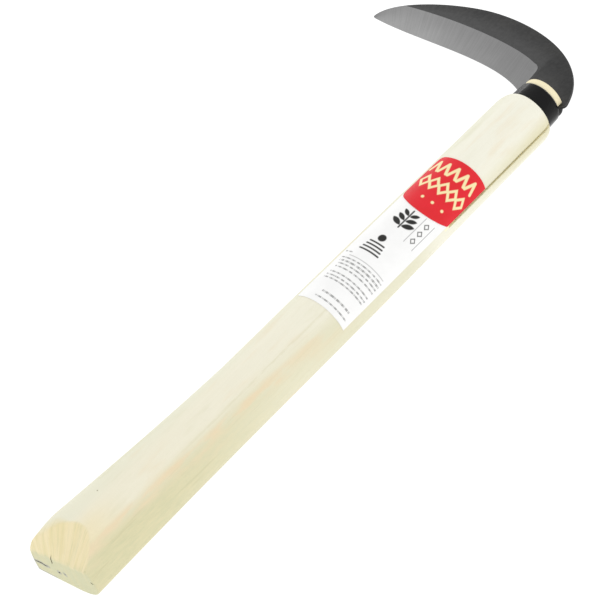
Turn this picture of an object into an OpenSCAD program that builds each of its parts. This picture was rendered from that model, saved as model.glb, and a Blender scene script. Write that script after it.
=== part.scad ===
// Hand sickle: a forged crescent blade with one ground bevel, set by its hooked tang
// into the sawn slot of a wooden handle, and held there by a steel ferrule.
// Frame: origin on the handle's axis at the flat butt, +X along the handle toward the
// blade, +Y toward the blade's tip, +Z up out of the bevelled face. Millimetres.

/* [Handle] */
// Length of the wood from the flat butt to the shoulder below the ferrule
handle_length = 352.9; // [220:0.1:480]
// Width of the grip, in the plane of the blade
grip_width = 36.5; // [28:0.1:44]
// Height of the grip, across the plane of the blade
grip_height = 33.3; // [26:0.1:42]
// Width of the wood just below its rounded shoulder
upper_width = 36.2; // [30:0.1:44]
// Height of the wood just below its rounded shoulder
upper_height = 29.8; // [28.5:0.1:40]
// Distance from the butt at which the wood starts to thin toward the ferrule
thinning_start = 170; // [135:1:200]
// Length of the wood's rounded shoulder
shoulder_length = 7.6; // [3:0.1:15]
// Step of bare wood round the foot of the ferrule
shoulder_step = 0.3; // [0.1:0.1:0.8]

/* [Butt] */
// Length over which the wood flares toward the butt
flare_length = 130; // [90:1:134]
// Width of the butt
butt_width = 51.4; // [44:0.1:60]
// Height of the butt
butt_height = 34.5; // [30:0.1:42]
// How far the middle of the butt lies toward the blade's side
butt_offset = 10.1; // [0:0.1:14]
// Height of the butt's widest line above its underside, on the blade's side
blade_side_edge = 0.3; // [0.1:0.1:8]
// Height of the butt's widest line above its underside, on the other side
back_side_edge = 9.2; // [4:0.1:14]
// Length over which the top of the butt is rounded over
round_length = 16.8; // [10:0.1:30]
// How far the rounded top has dropped at the flat butt
round_drop = 7.5; // [0:0.1:9]
// Angle round the handle at which it drops most, 90 at the top
round_angle = 75.3; // [50:0.1:100]
// Angle over which that drop fades
round_spread = 26.3; // [15:0.1:45]
// Height above the axis at which the carved facet leaves the flat butt
facet_foot = 1.1; // [-4:0.1:6]
// Fall of the facet's foot toward the blade's side, for each unit across
facet_fall = 0.085; // [0:0.005:0.2]
// Run of the facet along the handle for each unit of height, on the back side
facet_back_run = 1.7; // [0.8:0.05:2.5]
// Run of the facet for each unit of height, on the blade's side
facet_front_run = 0.25; // [0.1:0.05:0.7]
// Place across the butt at which the facet twists most
facet_twist = 1.7; // [-6:0.1:10]
// Width over which it twists
facet_twist_width = 7.1; // [3:0.1:12]

/* [Ferrule] */
// Length of the ferrule
ferrule_length = 11; // [7:0.1:20]
// Outer radius of the ferrule at its foot, on the shoulder
ferrule_foot_radius = 13.5; // [12.5:0.05:16]
// How much smaller the outer radius is at the rim
ferrule_taper = 0.5; // [0:0.05:1]
// Wall of the ferrule
ferrule_wall = 0.9; // [0.6:0.05:1.6]
// Rounding of the ferrule's outer rim
rim_round = 0.6; // [0.2:0.05:0.8]
// How far the tenon stands out of the ferrule's rim
tenon_proud = 4.1; // [2:0.1:8]
// How much the proud end of the tenon swells over the ferrule's bore
tenon_swell = 0.4; // [0:0.05:0.6]

/* [Blade] */
// Distance of the tip from the handle's axis
blade_reach = 161.7; // [120:0.1:210]
// Distance of the tip ahead of the handle's shoulder
tip_lead = 47.4; // [35:0.1:60]
// Distance of the fullest point of the spine ahead of the shoulder
belly_lead = 71.3; // [62:0.1:85]
// Distance of the fullest point of the spine from the handle's axis
belly_reach = 93.4; // [80:0.1:110]
// Distance of the cutting edge's heel ahead of the shoulder
heel_lead = 15.4; // [15.4:0.1:24]
// Distance of the cutting edge's heel from the handle's axis
heel_reach = 19; // [17:0.1:30]
// Distance of the neck's outer corner behind the handle's axis
neck_back = 17; // [13.5:0.1:18]
// Radius of that corner
neck_round = 3.5; // [1:0.1:4]
// Width of the ground bevel at the heel
bevel_width = 22.2; // [14:0.1:26]
// Corner radius of the bevel at the heel
bevel_corner = 4.4; // [2:0.1:7]
// How far the line on which the bevel starts slants toward the tip
bevel_slant = 1.7; // [0:0.1:3]
// Thickness of the blade at the neck
blade_thickness = 1.4; // [1.2:0.05:3]
// How much thinner the blade is at the tip
distal_taper = 0.5; // [0.1:0.05:0.7]
// Distance of the blade's middle plane below the handle's axis
blade_drop = 1.1; // [0:0.05:3]
// Height of the blunt land left along the cutting edge
edge_land = 0.15; // [0.05:0.01:0.4]
// Chamfer along the top of the spine
spine_chamfer = 0.3; // [0.1:0.05:0.45]

/* [Tang] */
// Distance of the tang's end below the shoulder
tang_depth = 68; // [40:0.5:76]
// Distance of the tang's back edge from the handle's axis
tang_back = 11; // [9:0.1:11.3]
// Distance of the tang's front edge from the axis where it enters the wood
tang_front = 7.5; // [5:0.1:9]
// Width of the hook at the tang's end
hook_width = 4.5; // [3:0.1:8]
// How far the hook's point crosses the handle's axis
hook_reach = 4; // [1:0.1:8]
// Thickness of the tang at its hooked end
tang_end_thickness = 1.2; // [0.9:0.05:1.3]

/* [Slot] */
// Distance of the slot's far end below the shoulder
slot_depth = 88; // [80:0.5:110]
// Distance of the slot's floor from the axis where the saw leaves its curve
slot_floor = 2; // [0:0.1:5]
// Radius of the saw that cuts the slot
saw_radius = 70; // [60:1:120]
// Clearance of the tang in its slot
slot_clearance = 0.1; // [0.05:0.01:0.3]

/* [Labels] */
// Distance of the white label's lower edge from the butt
white_start = 181.5; // [150:0.5:230]
// Length of the white label, part of it under the red one
white_length = 89; // [60:0.5:100]
// Distance of the red label's upper edge from the butt
red_end = 295.4; // [270:0.5:300]
// Length of the red label at its sides
red_length = 31.6; // [20:0.5:50]
// How far the red label's lower edge bows toward the butt
red_bow = 6.4; // [0:0.1:10]
// How far the red label's upper edge bows toward the blade
red_crown = 1; // [0:0.1:3]
// Corner radius of the red label on the blade's side
red_corner = 3; // [1:0.1:6]
// Angle round the handle that the labels cover, ending at the slot
label_wrap = 112; // [60:0.5:150]
// Thickness of each label
label_thickness = 0.15; // [0.08:0.01:0.3]
// Clearance below each label
label_clearance = 0.08; // [0.06:0.01:0.15]

/* [Hidden] */
// Clearance between pieces that seat on each other
seat_clearance = 0.25;
// Clearance between the ferrule's bore and the tenon
bore_clearance = 0.05;
// Chamfer round the end of the tenon
tenon_chamfer = 0.5;
// Power of the flare's curve
flare_power = 1.3;
// Roundness of the butt's underside, 1 an ellipse and 0 square
butt_roundness = 0.8;
// Sides of the handle's section and steps of its curved stretches
handle_sides = 48;
butt_steps = 7;
flare_steps = 11;
thinning_steps = 8;
shoulder_steps = 6;
// Steps of the blade between heel and tip, and of its neck
blade_steps = 40;
neck_steps = 12;
// Handles of each curve, as shares of the way between its two ends
edge_pull = [[0.665, 0.232], [0.652, 0.683]];
bevel_pull = [[0.443, 0.146], [0.935, 0.628]];
lower_spine_pull = [[0.721, 0.089], [1, 0.699]];
upper_spine_pull = [[0, 0.456], [0.372, 0.999]];
neck_pull = [[1, 0.2], [1, 0.65]];
// Share of the upper spine at which the bevel runs out into it
bevel_runout = 0.63;
// Share of the blade's length over which the bevel's corner turns, and its stretch along the heel
corner_share = 0.03;
corner_stretch = 1.4;
// Narrowest width left at the tip
tip_width = 0.7;
// Step in from each face of the blade to the tang
tang_step = 0.05;
// Chamfer along the inside of the neck, and run of the step where the bevel starts
neck_chamfer = 0.2;
heel_step = 0.25;
// How far the tang reaches into the neck, past the end of the tenon
root_overlap = 1.5;
// Largest share of the blade's width that the spine's chamfer takes, and the chamfers kept before it
chamfer_share = 0.25;
crest_margin = 1.5;
// How far the sections crowd toward heel and tip, and toward the neck's outer corner
crowding = 0.7;
neck_crowding = 1.8;
// Rounds of the search for the heel's level on the spine
level_rounds = 20;
// Steps of curves drawn with circles
round_steps = 96;
// Steps across the twisted facet
facet_steps = 14;
// Steps of the slot's curved floor, of the tang's edge and of the ferrule's rounded rim
saw_steps = 12;
tang_steps = 6;
rim_steps = 6;
// Steps of a label along the handle and round it
label_steps = 8;
label_sides = 15;
// Reach of a cutting tool past the face that it leaves
overcut = 2;

tenon_length = ferrule_length + tenon_proud;
ferrule_rim_radius = ferrule_foot_radius - ferrule_taper;
tenon_foot_radius = ferrule_foot_radius - ferrule_wall - bore_clearance;
tenon_rim_radius = ferrule_rim_radius - ferrule_wall - bore_clearance;
shoulder_radius = ferrule_foot_radius + shoulder_step;
blade_top = blade_thickness / 2 - blade_drop;
blade_bottom = -blade_thickness / 2 - blade_drop;
neck_seat = ferrule_length + seat_clearance;
tenon_seat = tenon_length + seat_clearance;
label_layer = label_thickness + label_clearance;

function mix(a, b, share) = a + (b - a) * share;
function clamp01(v) = min(1, max(0, v));
function smooth(v) = let (c = clamp01(v)) c * c * (3 - 2 * c);

// Cubic curve between two points, with its handles given as shares of the way between them
function curve(a, b, pull, t) =
    let (p = [for (k = pull) [mix(a.x, b.x, k.x), mix(a.y, b.y, k.y)]])
    pow(1 - t, 3) * a + 3 * pow(1 - t, 2) * t * p[0] + 3 * (1 - t) * t * t * p[1] + pow(t, 3) * b;

// Side and end faces of a row of closed rings, each of n points
function skin_faces(rings, n) = concat(
    [[for (i = [0:n - 1]) i]],
    [for (r = [0:rings - 2], i = [0:n - 1])
        let (j = (i + 1) % n)
        each [[r * n + i, (r + 1) * n + i, (r + 1) * n + j], [r * n + i, (r + 1) * n + j, r * n + j]]],
    [[for (i = [n - 1:-1:0]) (rings - 1) * n + i]]
);

module skin(rings) {
    polyhedron(
        points = [for (ring = rings, p = ring) p],
        faces = skin_faces(len(rings), len(rings[0])),
        convexity = 8
    );
}

// Turns a shape revolved round Z so that its axis lies along X
module along_handle() {
    rotate([90, 0, 90])
        children();
}

// Section of the handle's wood at a distance from the butt
function flare(x) = x < flare_length ? pow(1 - x / flare_length, flare_power) : 0;
function thinning(x) = smooth((x - thinning_start) / (handle_length - thinning_start));
function shoulder(x) = let (s = clamp01((x - handle_length) / shoulder_length + 1)) 1 - sqrt(1 - s * s);
function wood_half(x, grip, butt, upper) =
    mix((grip + flare(x) * (butt - grip) + thinning(x) * (upper - grip)) / 2, shoulder_radius, shoulder(x));
function half_width(x) = wood_half(x, grip_width, butt_width, upper_width);
function half_height(x) = wood_half(x, grip_height, butt_height, upper_height);
function wood_middle(x) = butt_offset * flare(x);
// Drop of the skin where the top of the butt is rounded over
function rounding(x, angle) =
    let (there = exp(-pow((angle - round_angle) / round_spread, 2)))
    x < round_length ? round_drop * there * pow(1 - x / round_length, 2) : 0;

// Point of the wood's skin, a named gap above it, at an angle round the handle's axis
function wood_point(x, angle, gap = 0) =
    let (
        lift = gap - rounding(x, angle),
        c = cos(angle),
        s = sin(angle),
        low = s < 0,
        roundness = low ? mix(1, butt_roundness, flare(x)) : 1,
        across = sign(c) * pow(abs(c), roundness),
        up = sign(s) * pow(abs(s), roundness),
        height = half_height(x) + lift,
        edge_height = c > 0 ? blade_side_edge : back_side_edge,
        widest = flare(x) * (edge_height - butt_height / 2),
        rise = low ? height + widest : height - widest
    )
    [x, wood_middle(x) + (half_width(x) + lift) * across, widest + rise * up];

// Stations of the wood, close together where it curves
wood_stations = concat(
    [for (i = [0:butt_steps - 1]) i * round_length / butt_steps],
    [for (i = [0:flare_steps]) mix(round_length, flare_length, i / flare_steps)],
    [for (i = [0:thinning_steps]) mix(thinning_start, handle_length - shoulder_length, i / thinning_steps)],
    [for (i = [1:shoulder_steps]) handle_length - shoulder_length * (1 - sin(90 * i / shoulder_steps))]
);

module wood_body() {
    skin([for (x = wood_stations) [for (i = [0:handle_sides - 1]) wood_point(x, 360 * i / handle_sides)]]);
}

// Tenon that fills the ferrule and swells where it stands out of the rim
module tenon() {
    swollen = tenon_rim_radius + tenon_swell;
    translate([handle_length, 0, 0])
        along_handle()
            rotate_extrude($fn = round_steps)
                polygon([
                    [0, -overcut],
                    [tenon_foot_radius, -overcut],
                    [tenon_foot_radius, 0],
                    [tenon_rim_radius, ferrule_length],
                    [swollen, ferrule_length + seat_clearance + tenon_swell],
                    [swollen, tenon_length - tenon_chamfer],
                    [swollen - tenon_chamfer, tenon_length],
                    [0, tenon_length]
                ]);
}

// What the carved facet takes off the top of the butt: it twists from the back to the blade's side
module butt_waste() {
    top = butt_height / 2 + overcut;
    reach = butt_width / 2 + overcut;
    skin([for (i = [0:facet_steps])
        let (
            y = mix(butt_offset - reach, butt_offset + reach, i / facet_steps),
            foot = facet_foot - facet_fall * y,
            turn = 1 / (1 + exp((y - facet_twist) / facet_twist_width)),
            run = mix(facet_front_run, facet_back_run, turn)
        )
        [[-overcut, y, foot - overcut / run], [-overcut, y, top], [run * (top - foot), y, top]]]);
}

// Floor of the sawn slot, measured from the shoulder: a saw's curve, then a straight ramp
slot_mouth = half_width(handle_length - slot_depth);
saw_centre = -slot_depth + sqrt(pow(saw_radius, 2) - pow(saw_radius + slot_floor - slot_mouth, 2));
function slot_curve(x) = -slot_floor - saw_radius + sqrt(max(0, pow(saw_radius, 2) - pow(x - saw_centre, 2)));
function slot_ramp(x) =
    mix(-slot_floor, tang_front + slot_clearance, (x - saw_centre) / (tenon_length - saw_centre));
function slot_bottom(x) = x < saw_centre ? slot_curve(x) : slot_ramp(x);

module slot_outline() {
    past = slot_mouth + overcut;
    hook_start = -tang_depth - slot_clearance;
    hook_end = -tang_depth + hook_width + slot_clearance;
    polygon(concat(
        [[-slot_depth, -past]],
        [for (i = [0:saw_steps]) let (x = mix(-slot_depth, hook_start, i / saw_steps)) [x, slot_bottom(x)]],
        [[hook_start, hook_reach + slot_clearance], [hook_end, hook_reach + slot_clearance]],
        [for (i = [0:saw_steps]) let (x = mix(hook_end, saw_centre, i / saw_steps)) [x, slot_bottom(x)]],
        [[tenon_length, slot_bottom(tenon_length)], [tenon_length + overcut, slot_bottom(tenon_length)]],
        [[tenon_length + overcut, -past]]
    ));
}

module slot() {
    translate([handle_length, 0, blade_bottom - slot_clearance])
        linear_extrude(height = blade_thickness + 2 * slot_clearance)
            slot_outline();
}

module handle() {
    color([0.94, 0.89, 0.72])
        difference() {
            union() {
                wood_body();
                tenon();
            }
            butt_waste();
            slot();
        }
}

module ferrule() {
    color([0.08, 0.08, 0.09])
        translate([handle_length, 0, 0])
            along_handle()
                rotate_extrude($fn = round_steps)
                    polygon(concat(
                        [[ferrule_foot_radius - ferrule_wall, 0], [ferrule_foot_radius, 0]],
                        [for (i = [0:rim_steps])
                            let (a = 90 * i / rim_steps)
                            [ferrule_rim_radius, ferrule_length] - rim_round * [1 - cos(a), 1 - sin(a)]],
                        [[ferrule_rim_radius - ferrule_wall, ferrule_length]]
                    ));
}

// Curves of the blade in plan, measured from the handle's shoulder
tip = [tip_lead, blade_reach];
heel = [heel_lead, heel_reach];
belly = [belly_lead, belly_reach];
function lower_spine(t) = curve([neck_seat, -neck_back], belly, lower_spine_pull, t);
function upper_spine(t) = curve(belly, tip, upper_spine_pull, t);
function edge(t) = curve(heel, tip, edge_pull, t);
function neck_inside(t) = curve(heel, [tenon_seat, tang_front], neck_pull, t);

// Share of the lower spine that lies level with the heel, found by halving
function level_share(low, high, rounds) =
    let (middle = (low + high) / 2)
    rounds == 0 ? middle
    : lower_spine(middle).y > heel_reach ? level_share(low, middle, rounds - 1)
    : level_share(middle, high, rounds - 1);
spine_level = level_share(0, 1, level_rounds);

// Spine of the blade from level with the heel (0) through the belly (0.5) to the tip (1)
function spine(t) = t < 0.5 ? lower_spine(mix(spine_level, 1, 2 * t)) : upper_spine(2 * t - 1);

// Line at which the bevel meets the flat of the blade
bevel_foot = [heel_lead + bevel_width, heel_reach + bevel_slant + bevel_corner];
bevel_end = (1 + bevel_runout) / 2;
function bevel_line(t) =
    let (
        on_curve = curve(bevel_foot, upper_spine(bevel_runout), bevel_pull, clamp01(t / bevel_end)),
        turn = clamp01(1 - t / corner_share),
        inward = bevel_corner * corner_stretch * (1 - sqrt(1 - turn * turn))
    )
    t < bevel_end ? [on_curve.x - inward, on_curve.y - bevel_corner * turn] : spine(t);

function blade_face(t) = blade_top - distal_taper * t;

// Closed section of the blade: edge, bevel line, and chamfered spine
function blade_ring(from, ridge, to, top, land) =
    let (
        way = to - from,
        width = norm(way),
        along = way / width,
        soft = min(spine_chamfer, width * chamfer_share, (top - blade_bottom) / 3),
        inner = to - along * soft,
        reach = min((ridge - from) * along, width - crest_margin * soft),
        crest = reach < (ridge - from) * along ? from + along * reach : ridge
    )
    [
        [from.x, from.y, blade_bottom],
        [from.x, from.y, blade_bottom + land],
        [crest.x, crest.y, top],
        [inner.x, inner.y, top],
        [to.x, to.y, top - soft],
        [to.x, to.y, blade_bottom + soft],
        [inner.x, inner.y, blade_bottom]
    ];

// Shares of the way from heel to tip, closer together at both ends
blade_shares = [for (i = [0:blade_steps]) let (s = i / blade_steps) mix(s, (1 - cos(180 * s)) / 2, crowding)];
tip_share = 1 - tip_width / blade_reach;

// Back of the neck, rounded at its outer corner
function neck_outside(t) =
    let (
        at = lower_spine(spine_level * (1 - t)),
        turn = clamp01(1 - (at.x - neck_seat) / neck_round)
    )
    at + [0, neck_round * (1 - sqrt(1 - turn * turn))];

module blade_body() {
    neck_rings = [for (i = [neck_steps:-1:0])
        let (
            share = 1 - pow(1 - i / neck_steps, neck_crowding),
            from = neck_inside(share),
            to = neck_outside(share),
            in = from + neck_chamfer * (to - from) / norm(to - from)
        )
        blade_ring(from, in, to, blade_top, blade_thickness - neck_chamfer)];
    bevel_rings = [for (s = blade_shares)
        let (t = s * tip_share)
        blade_ring(edge(t), bevel_line(t), spine(t), blade_face(t), edge_land)];
    // The bevel's first section stands just ahead of the neck's last full one, as a steep step
    first = [for (p = bevel_rings[0]) [p.x, p.y + heel_step, p.z]];
    skin(concat(neck_rings, [first], [for (i = [1:blade_steps]) bevel_rings[i]]));
}

// Outline of the tang in plan, hooked at its end to lock into the slot's pocket
module tang_outline() {
    root = tenon_seat + root_overlap;
    hook_end = -tang_depth + hook_width;
    polygon(concat(
        [[root, -tang_back], [-tang_depth, -tang_back]],
        [[-tang_depth, hook_reach], [hook_end, hook_reach]],
        [for (i = [0:tang_steps])
            let (x = mix(hook_end, saw_centre, i / tang_steps))
            [x, slot_bottom(x) - 2 * slot_clearance]],
        [[tenon_length, tang_front - slot_clearance], [root, tang_front - slot_clearance]]
    ));
}

// Side profile of the tang, thinning from the neck to the hook
module tang_profile() {
    root = tenon_seat + root_overlap;
    end_top = -blade_drop + tang_end_thickness / 2;
    end_bottom = -blade_drop - tang_end_thickness / 2;
    polygon([
        [-tang_depth, end_bottom],
        [neck_seat, blade_bottom + tang_step],
        [root, blade_bottom + tang_step],
        [root, blade_top - tang_step],
        [neck_seat, blade_top - tang_step],
        [-tang_depth, end_top]
    ]);
}

module tang() {
    span = 2 * (neck_back + tang_front);
    intersection() {
        translate([0, 0, blade_bottom])
            linear_extrude(height = blade_thickness)
                tang_outline();
        translate([0, span / 2, 0])
            rotate([90, 0, 0])
                linear_extrude(height = span)
                    tang_profile();
    }
}

module blade() {
    color([0.27, 0.27, 0.28])
        translate([handle_length, 0, 0])
            union() {
                blade_body();
                tang();
            }
}

// Thin shell that follows the wood; its ends are given for each angle round the handle
module label_shell(starts, ends, angles, gap) {
    count = len(angles);
    function row(i, above) = [for (k = [0:label_steps])
        wood_point(mix(starts[i], ends[i], k / label_steps), angles[i], above)];
    skin([for (i = [0:count - 1])
        let (
            outer = row(i, gap + label_thickness),
            inner = row(i, gap)
        )
        concat(outer, [for (k = [label_steps:-1:0]) inner[k]])]);
}

label_angles = [for (i = [0:label_sides]) 180 - label_wrap * i / label_sides];
// Place across a label, from -1 at the slot to 1 at its far side
function label_place(i) = 2 * i / label_sides - 1;

module white_label() {
    color([0.96, 0.96, 0.95])
        label_shell(
            [for (a = label_angles) white_start],
            [for (a = label_angles) white_start + white_length],
            label_angles,
            label_clearance
        );
}

// Cut of the red label's rounded corners at a place across it
half_label = label_wrap * grip_width * PI / 720;
function corner_cut(place) =
    let (over = max(0, place * half_label - half_label + red_corner))
    red_corner - sqrt(max(0, pow(red_corner, 2) - over * over));

module red_label() {
    starts = [for (i = [0:label_sides])
        let (p = label_place(i)) red_end - red_length - red_bow * (1 - p * p) + corner_cut(p)];
    ends = [for (i = [0:label_sides])
        let (p = label_place(i)) red_end + red_crown * (1 - p * p) - corner_cut(p)];
    color([0.86, 0.16, 0.2])
        label_shell(starts, ends, label_angles, label_layer + label_clearance);
}

blade();
handle();
ferrule();
white_label();
red_label();
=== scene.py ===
"""A hand sickle: forged crescent blade, flared wooden handle, ferrule and two paper labels.

Each sub-assembly is a class that keeps its sizes in millimetres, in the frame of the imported
model: X along the handle toward the blade, Y toward the blade's tip, Z out of the bevelled
face. A finished piece is in metres, with its place in its mesh.
"""

import logging
import math
from collections.abc import Callable, Sequence
from dataclasses import dataclass, fields
from enum import Enum
from typing import Self

import bmesh
import bpy
from mathutils import Matrix, Vector
from mathutils.kdtree import KDTree


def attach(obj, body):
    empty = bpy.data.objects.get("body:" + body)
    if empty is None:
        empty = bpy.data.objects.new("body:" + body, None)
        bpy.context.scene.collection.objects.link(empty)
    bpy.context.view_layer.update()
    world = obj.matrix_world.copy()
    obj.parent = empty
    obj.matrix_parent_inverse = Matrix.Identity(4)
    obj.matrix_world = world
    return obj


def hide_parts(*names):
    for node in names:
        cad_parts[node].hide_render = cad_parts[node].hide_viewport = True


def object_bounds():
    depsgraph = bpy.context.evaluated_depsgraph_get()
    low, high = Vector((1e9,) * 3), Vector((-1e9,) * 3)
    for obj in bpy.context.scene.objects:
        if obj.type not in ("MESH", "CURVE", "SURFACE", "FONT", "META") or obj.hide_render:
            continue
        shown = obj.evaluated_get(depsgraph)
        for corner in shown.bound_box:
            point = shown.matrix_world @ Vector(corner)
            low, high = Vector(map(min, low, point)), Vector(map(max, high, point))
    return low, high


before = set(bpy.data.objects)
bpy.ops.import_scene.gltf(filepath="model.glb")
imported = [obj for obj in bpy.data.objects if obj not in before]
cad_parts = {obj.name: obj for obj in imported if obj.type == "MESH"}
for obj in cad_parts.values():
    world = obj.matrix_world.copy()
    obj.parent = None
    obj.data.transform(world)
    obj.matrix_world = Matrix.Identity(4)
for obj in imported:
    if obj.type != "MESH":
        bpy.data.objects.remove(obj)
CAD_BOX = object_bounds()

LOG = logging.getLogger("sickle")
BODY = "root"
MILLIMETRE = 0.001
PER_METRE = 1000.0
# Points closer than this are one point
WELD = 0.001
# Halvings of a search, which leave less than a millionth of its span
HALVINGS = 24

Place = Callable[[int, int], Vector]
Choice = Callable[[int, int], int]
Socket = bpy.types.NodeSocket
Colour = tuple[float, float, float, float]
Triple = tuple[float, float, float]
Pair = tuple[float, float]
# Where a change starts, and where it stops
Span = tuple[float, float]
# How the two handles of a curve are placed between its ends
Pulls = tuple[Pair, Pair]


class Joining(Enum):
    """How one solid meets another."""

    CUT = "DIFFERENCE"
    FUSE = "UNION"


class Finishes(Enum):
    """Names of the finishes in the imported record."""

    STEEL = "forged_steel"
    WOOD = "wood"
    ENAMEL = "black_ferrule"
    WHITE = "white_paper"
    RED = "red_paper"


def mix(start: float, end: float, share: float) -> float:
    """Value at a share of the way from start to end."""
    return start + (end - start) * share


def clamp01(value: float) -> float:
    """Value held between 0 and 1."""
    return min(1.0, max(0.0, value))


def smooth(value: float) -> float:
    """Smooth step from 0 to 1."""
    held = clamp01(value)
    return held * held * (3.0 - 2.0 * held)


def halve(rises: Callable[[float], float], low: float, high: float) -> float:
    """Finds where a rising function crosses zero.

    Args:
        rises: Function that is below zero at low and above it at high.
        low: Lower end of the search.
        high: Upper end of the search.

    Returns:
        The crossing.
    """
    for _ in range(HALVINGS):
        middle = (low + high) / 2.0
        low, high = (low, middle) if rises(middle) > 0.0 else (middle, high)
    return (low + high) / 2.0


def spaced(*spans: tuple[float, float, int]) -> list[float]:
    """Values through spans that follow each other.

    Args:
        *spans: Start, end and number of steps of each span.

    Returns:
        The first span's start, then the end of every step.
    """
    values = [spans[0][0]]
    for start, end, steps in spans:
        values += [mix(start, end, step / steps) for step in range(1, steps + 1)]
    return values


# Meshes


def wrapped_sheet(
    columns: int,
    rows: int,
    place: Place,
    tint: Choice | None = None,
    creases: Sequence[int] = (),
) -> bmesh.types.BMesh:
    """Lays a flat grid, then moves its points onto a surface and welds the edges that meet.

    Args:
        columns: Cells across the sheet.
        rows: Cells along the sheet.
        place: Gives the point on the surface for a column line and a row line.
        tint: Gives the number of the material for a cell's column and row.
        creases: Column lines whose edges stay sharp.

    Returns:
        The mesh, in millimetres.
    """
    mesh = bmesh.new()
    mesh.loops.layers.uv.new("UVMap")
    bmesh.ops.create_grid(mesh, x_segments=columns, y_segments=rows, size=0.5, calc_uvs=True)
    for face in mesh.faces:
        face.smooth = True
        if tint:
            centre = face.calc_center_median()
            face.material_index = tint(
                int((centre.x + 0.5) * columns), int((centre.y + 0.5) * rows)
            )
    lines = {v: (round((v.co.x + 0.5) * columns), round((v.co.y + 0.5) * rows)) for v in mesh.verts}
    for edge in mesh.edges:
        first, second = (lines[v] for v in edge.verts)
        if first[0] == second[0] and first[0] in creases:
            edge.smooth = False
    for vertex, (column, row) in lines.items():
        vertex.co = place(column, row)
    bmesh.ops.remove_doubles(mesh, verts=mesh.verts, dist=WELD)
    return mesh


def close_holes(mesh: bmesh.types.BMesh) -> None:
    """Fills every open loop of edges, then turns all faces outwards.

    Args:
        mesh: The mesh, which is changed.
    """
    rims = [edge for edge in mesh.edges if edge.is_boundary]
    if rims:
        bmesh.ops.holes_fill(mesh, edges=rims, sides=0)
    bmesh.ops.recalc_face_normals(mesh, faces=mesh.faces)


def prism(outline: Sequence[Pair], low: float, high: float) -> bmesh.types.BMesh:
    """Draws an outline in plan and extrudes it upward.

    Args:
        outline: Corners of the outline, in order.
        low: Height of its underside.
        high: Height of its top.

    Returns:
        The mesh, in millimetres.
    """
    mesh = bmesh.new()
    corners = [mesh.verts.new((x, y, low)) for x, y in outline]
    base = mesh.faces.new(corners)
    grown = bmesh.ops.extrude_face_region(mesh, geom=[base])
    raised = [part for part in grown["geom"] if isinstance(part, bmesh.types.BMVert)]
    bmesh.ops.translate(mesh, verts=raised, vec=(0.0, 0.0, high - low))
    bmesh.ops.recalc_face_normals(mesh, faces=mesh.faces)
    return mesh


def to_object(
    name: str, mesh: bmesh.types.BMesh, materials: Sequence[bpy.types.Material] = ()
) -> bpy.types.Object:
    """Puts a mesh into the scene.

    Args:
        name: Name of the object.
        mesh: The mesh, which is used up.
        materials: Its materials, in the order of their numbers.

    Returns:
        The object.
    """
    data = bpy.data.meshes.new(name)
    for material in materials:
        data.materials.append(material)
    mesh.to_mesh(data)
    mesh.free()
    piece = bpy.data.objects.new(name, data)
    bpy.context.scene.collection.objects.link(piece)
    return piece


def join(piece: bpy.types.Object, other: bpy.types.Object, way: Joining) -> None:
    """Cuts one piece with another, or fuses the two, and deletes the other.

    Args:
        piece: The piece, which is changed.
        other: The piece that it is cut with or fused to.
        way: Which of the two.
    """
    step = piece.modifiers.new(way.name.lower(), "BOOLEAN")
    step.operation = way.value
    step.solver = "EXACT"
    step.object = other
    graph = bpy.context.evaluated_depsgraph_get()
    shaped = bpy.data.meshes.new_from_object(
        piece.evaluated_get(graph), preserve_all_data_layers=True, depsgraph=graph
    )
    piece.modifiers.clear()
    piece.data = shaped
    bpy.data.objects.remove(other)


@dataclass(frozen=True)
class EdgeMarks:
    """Marks how near each point of a piece lies to its sharp edges.

    Attributes:
        angle: Turn between two faces, in degrees, from which their edge counts as sharp.
        reach: Distance from such an edge at which the mark has faded.
        spacing: Distance between the samples taken along an edge.
    """

    angle: float = 24.0
    reach: float = 1.6
    spacing: float = 0.6

    def apply(self, piece: bpy.types.Object) -> None:
        """Writes the marks to a piece as the attribute worn.

        Args:
            piece: The piece, in millimetres.
        """
        mesh = bmesh.new()
        mesh.from_mesh(piece.data)
        samples = self.samples(mesh)
        tree = KDTree(len(samples))
        for number, point in enumerate(samples):
            tree.insert(point, number)
        tree.balance()
        worn = mesh.verts.layers.float.new("worn")
        for vertex in mesh.verts:
            gap = tree.find(vertex.co)[2] if samples else self.reach
            vertex[worn] = 1.0 - clamp01((gap or 0.0) / self.reach)
        mesh.to_mesh(piece.data)
        mesh.free()

    def samples(self, mesh: bmesh.types.BMesh) -> list[Vector]:
        """Points along the sharp edges of a mesh.

        Args:
            mesh: The mesh.

        Returns:
            The points.
        """
        points: list[Vector] = []
        limit = math.radians(self.angle)
        for edge in mesh.edges:
            if len(edge.link_faces) == 2 and edge.calc_face_angle(0.0) > limit:
                start, end = (v.co.copy() for v in edge.verts)
                count = 1 + int((end - start).length / self.spacing)
                points += [start.lerp(end, step / count) for step in range(count + 1)]
        return points


def finish_piece(
    piece: bpy.types.Object,
    nodes: Sequence[str],
    slot: Finishes,
    sharp_angle: float = 30.0,
) -> None:
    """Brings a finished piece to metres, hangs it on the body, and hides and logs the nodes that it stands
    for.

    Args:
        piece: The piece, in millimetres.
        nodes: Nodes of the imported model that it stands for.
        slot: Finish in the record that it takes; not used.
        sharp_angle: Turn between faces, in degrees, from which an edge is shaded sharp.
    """
    data = piece.data
    sharp = [edge.use_edge_sharp for edge in data.edges]
    data.set_sharp_from_angle(angle=math.radians(sharp_angle))
    for edge, kept in zip(data.edges, sharp):
        edge.use_edge_sharp = edge.use_edge_sharp or kept
    data.transform(Matrix.Scale(MILLIMETRE, 4))
    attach(piece, BODY)
    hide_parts(*nodes)
    LOG.info("%s: %d faces, stands for %s", piece.name, len(data.polygons), ", ".join(nodes))


# Materials


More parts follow.
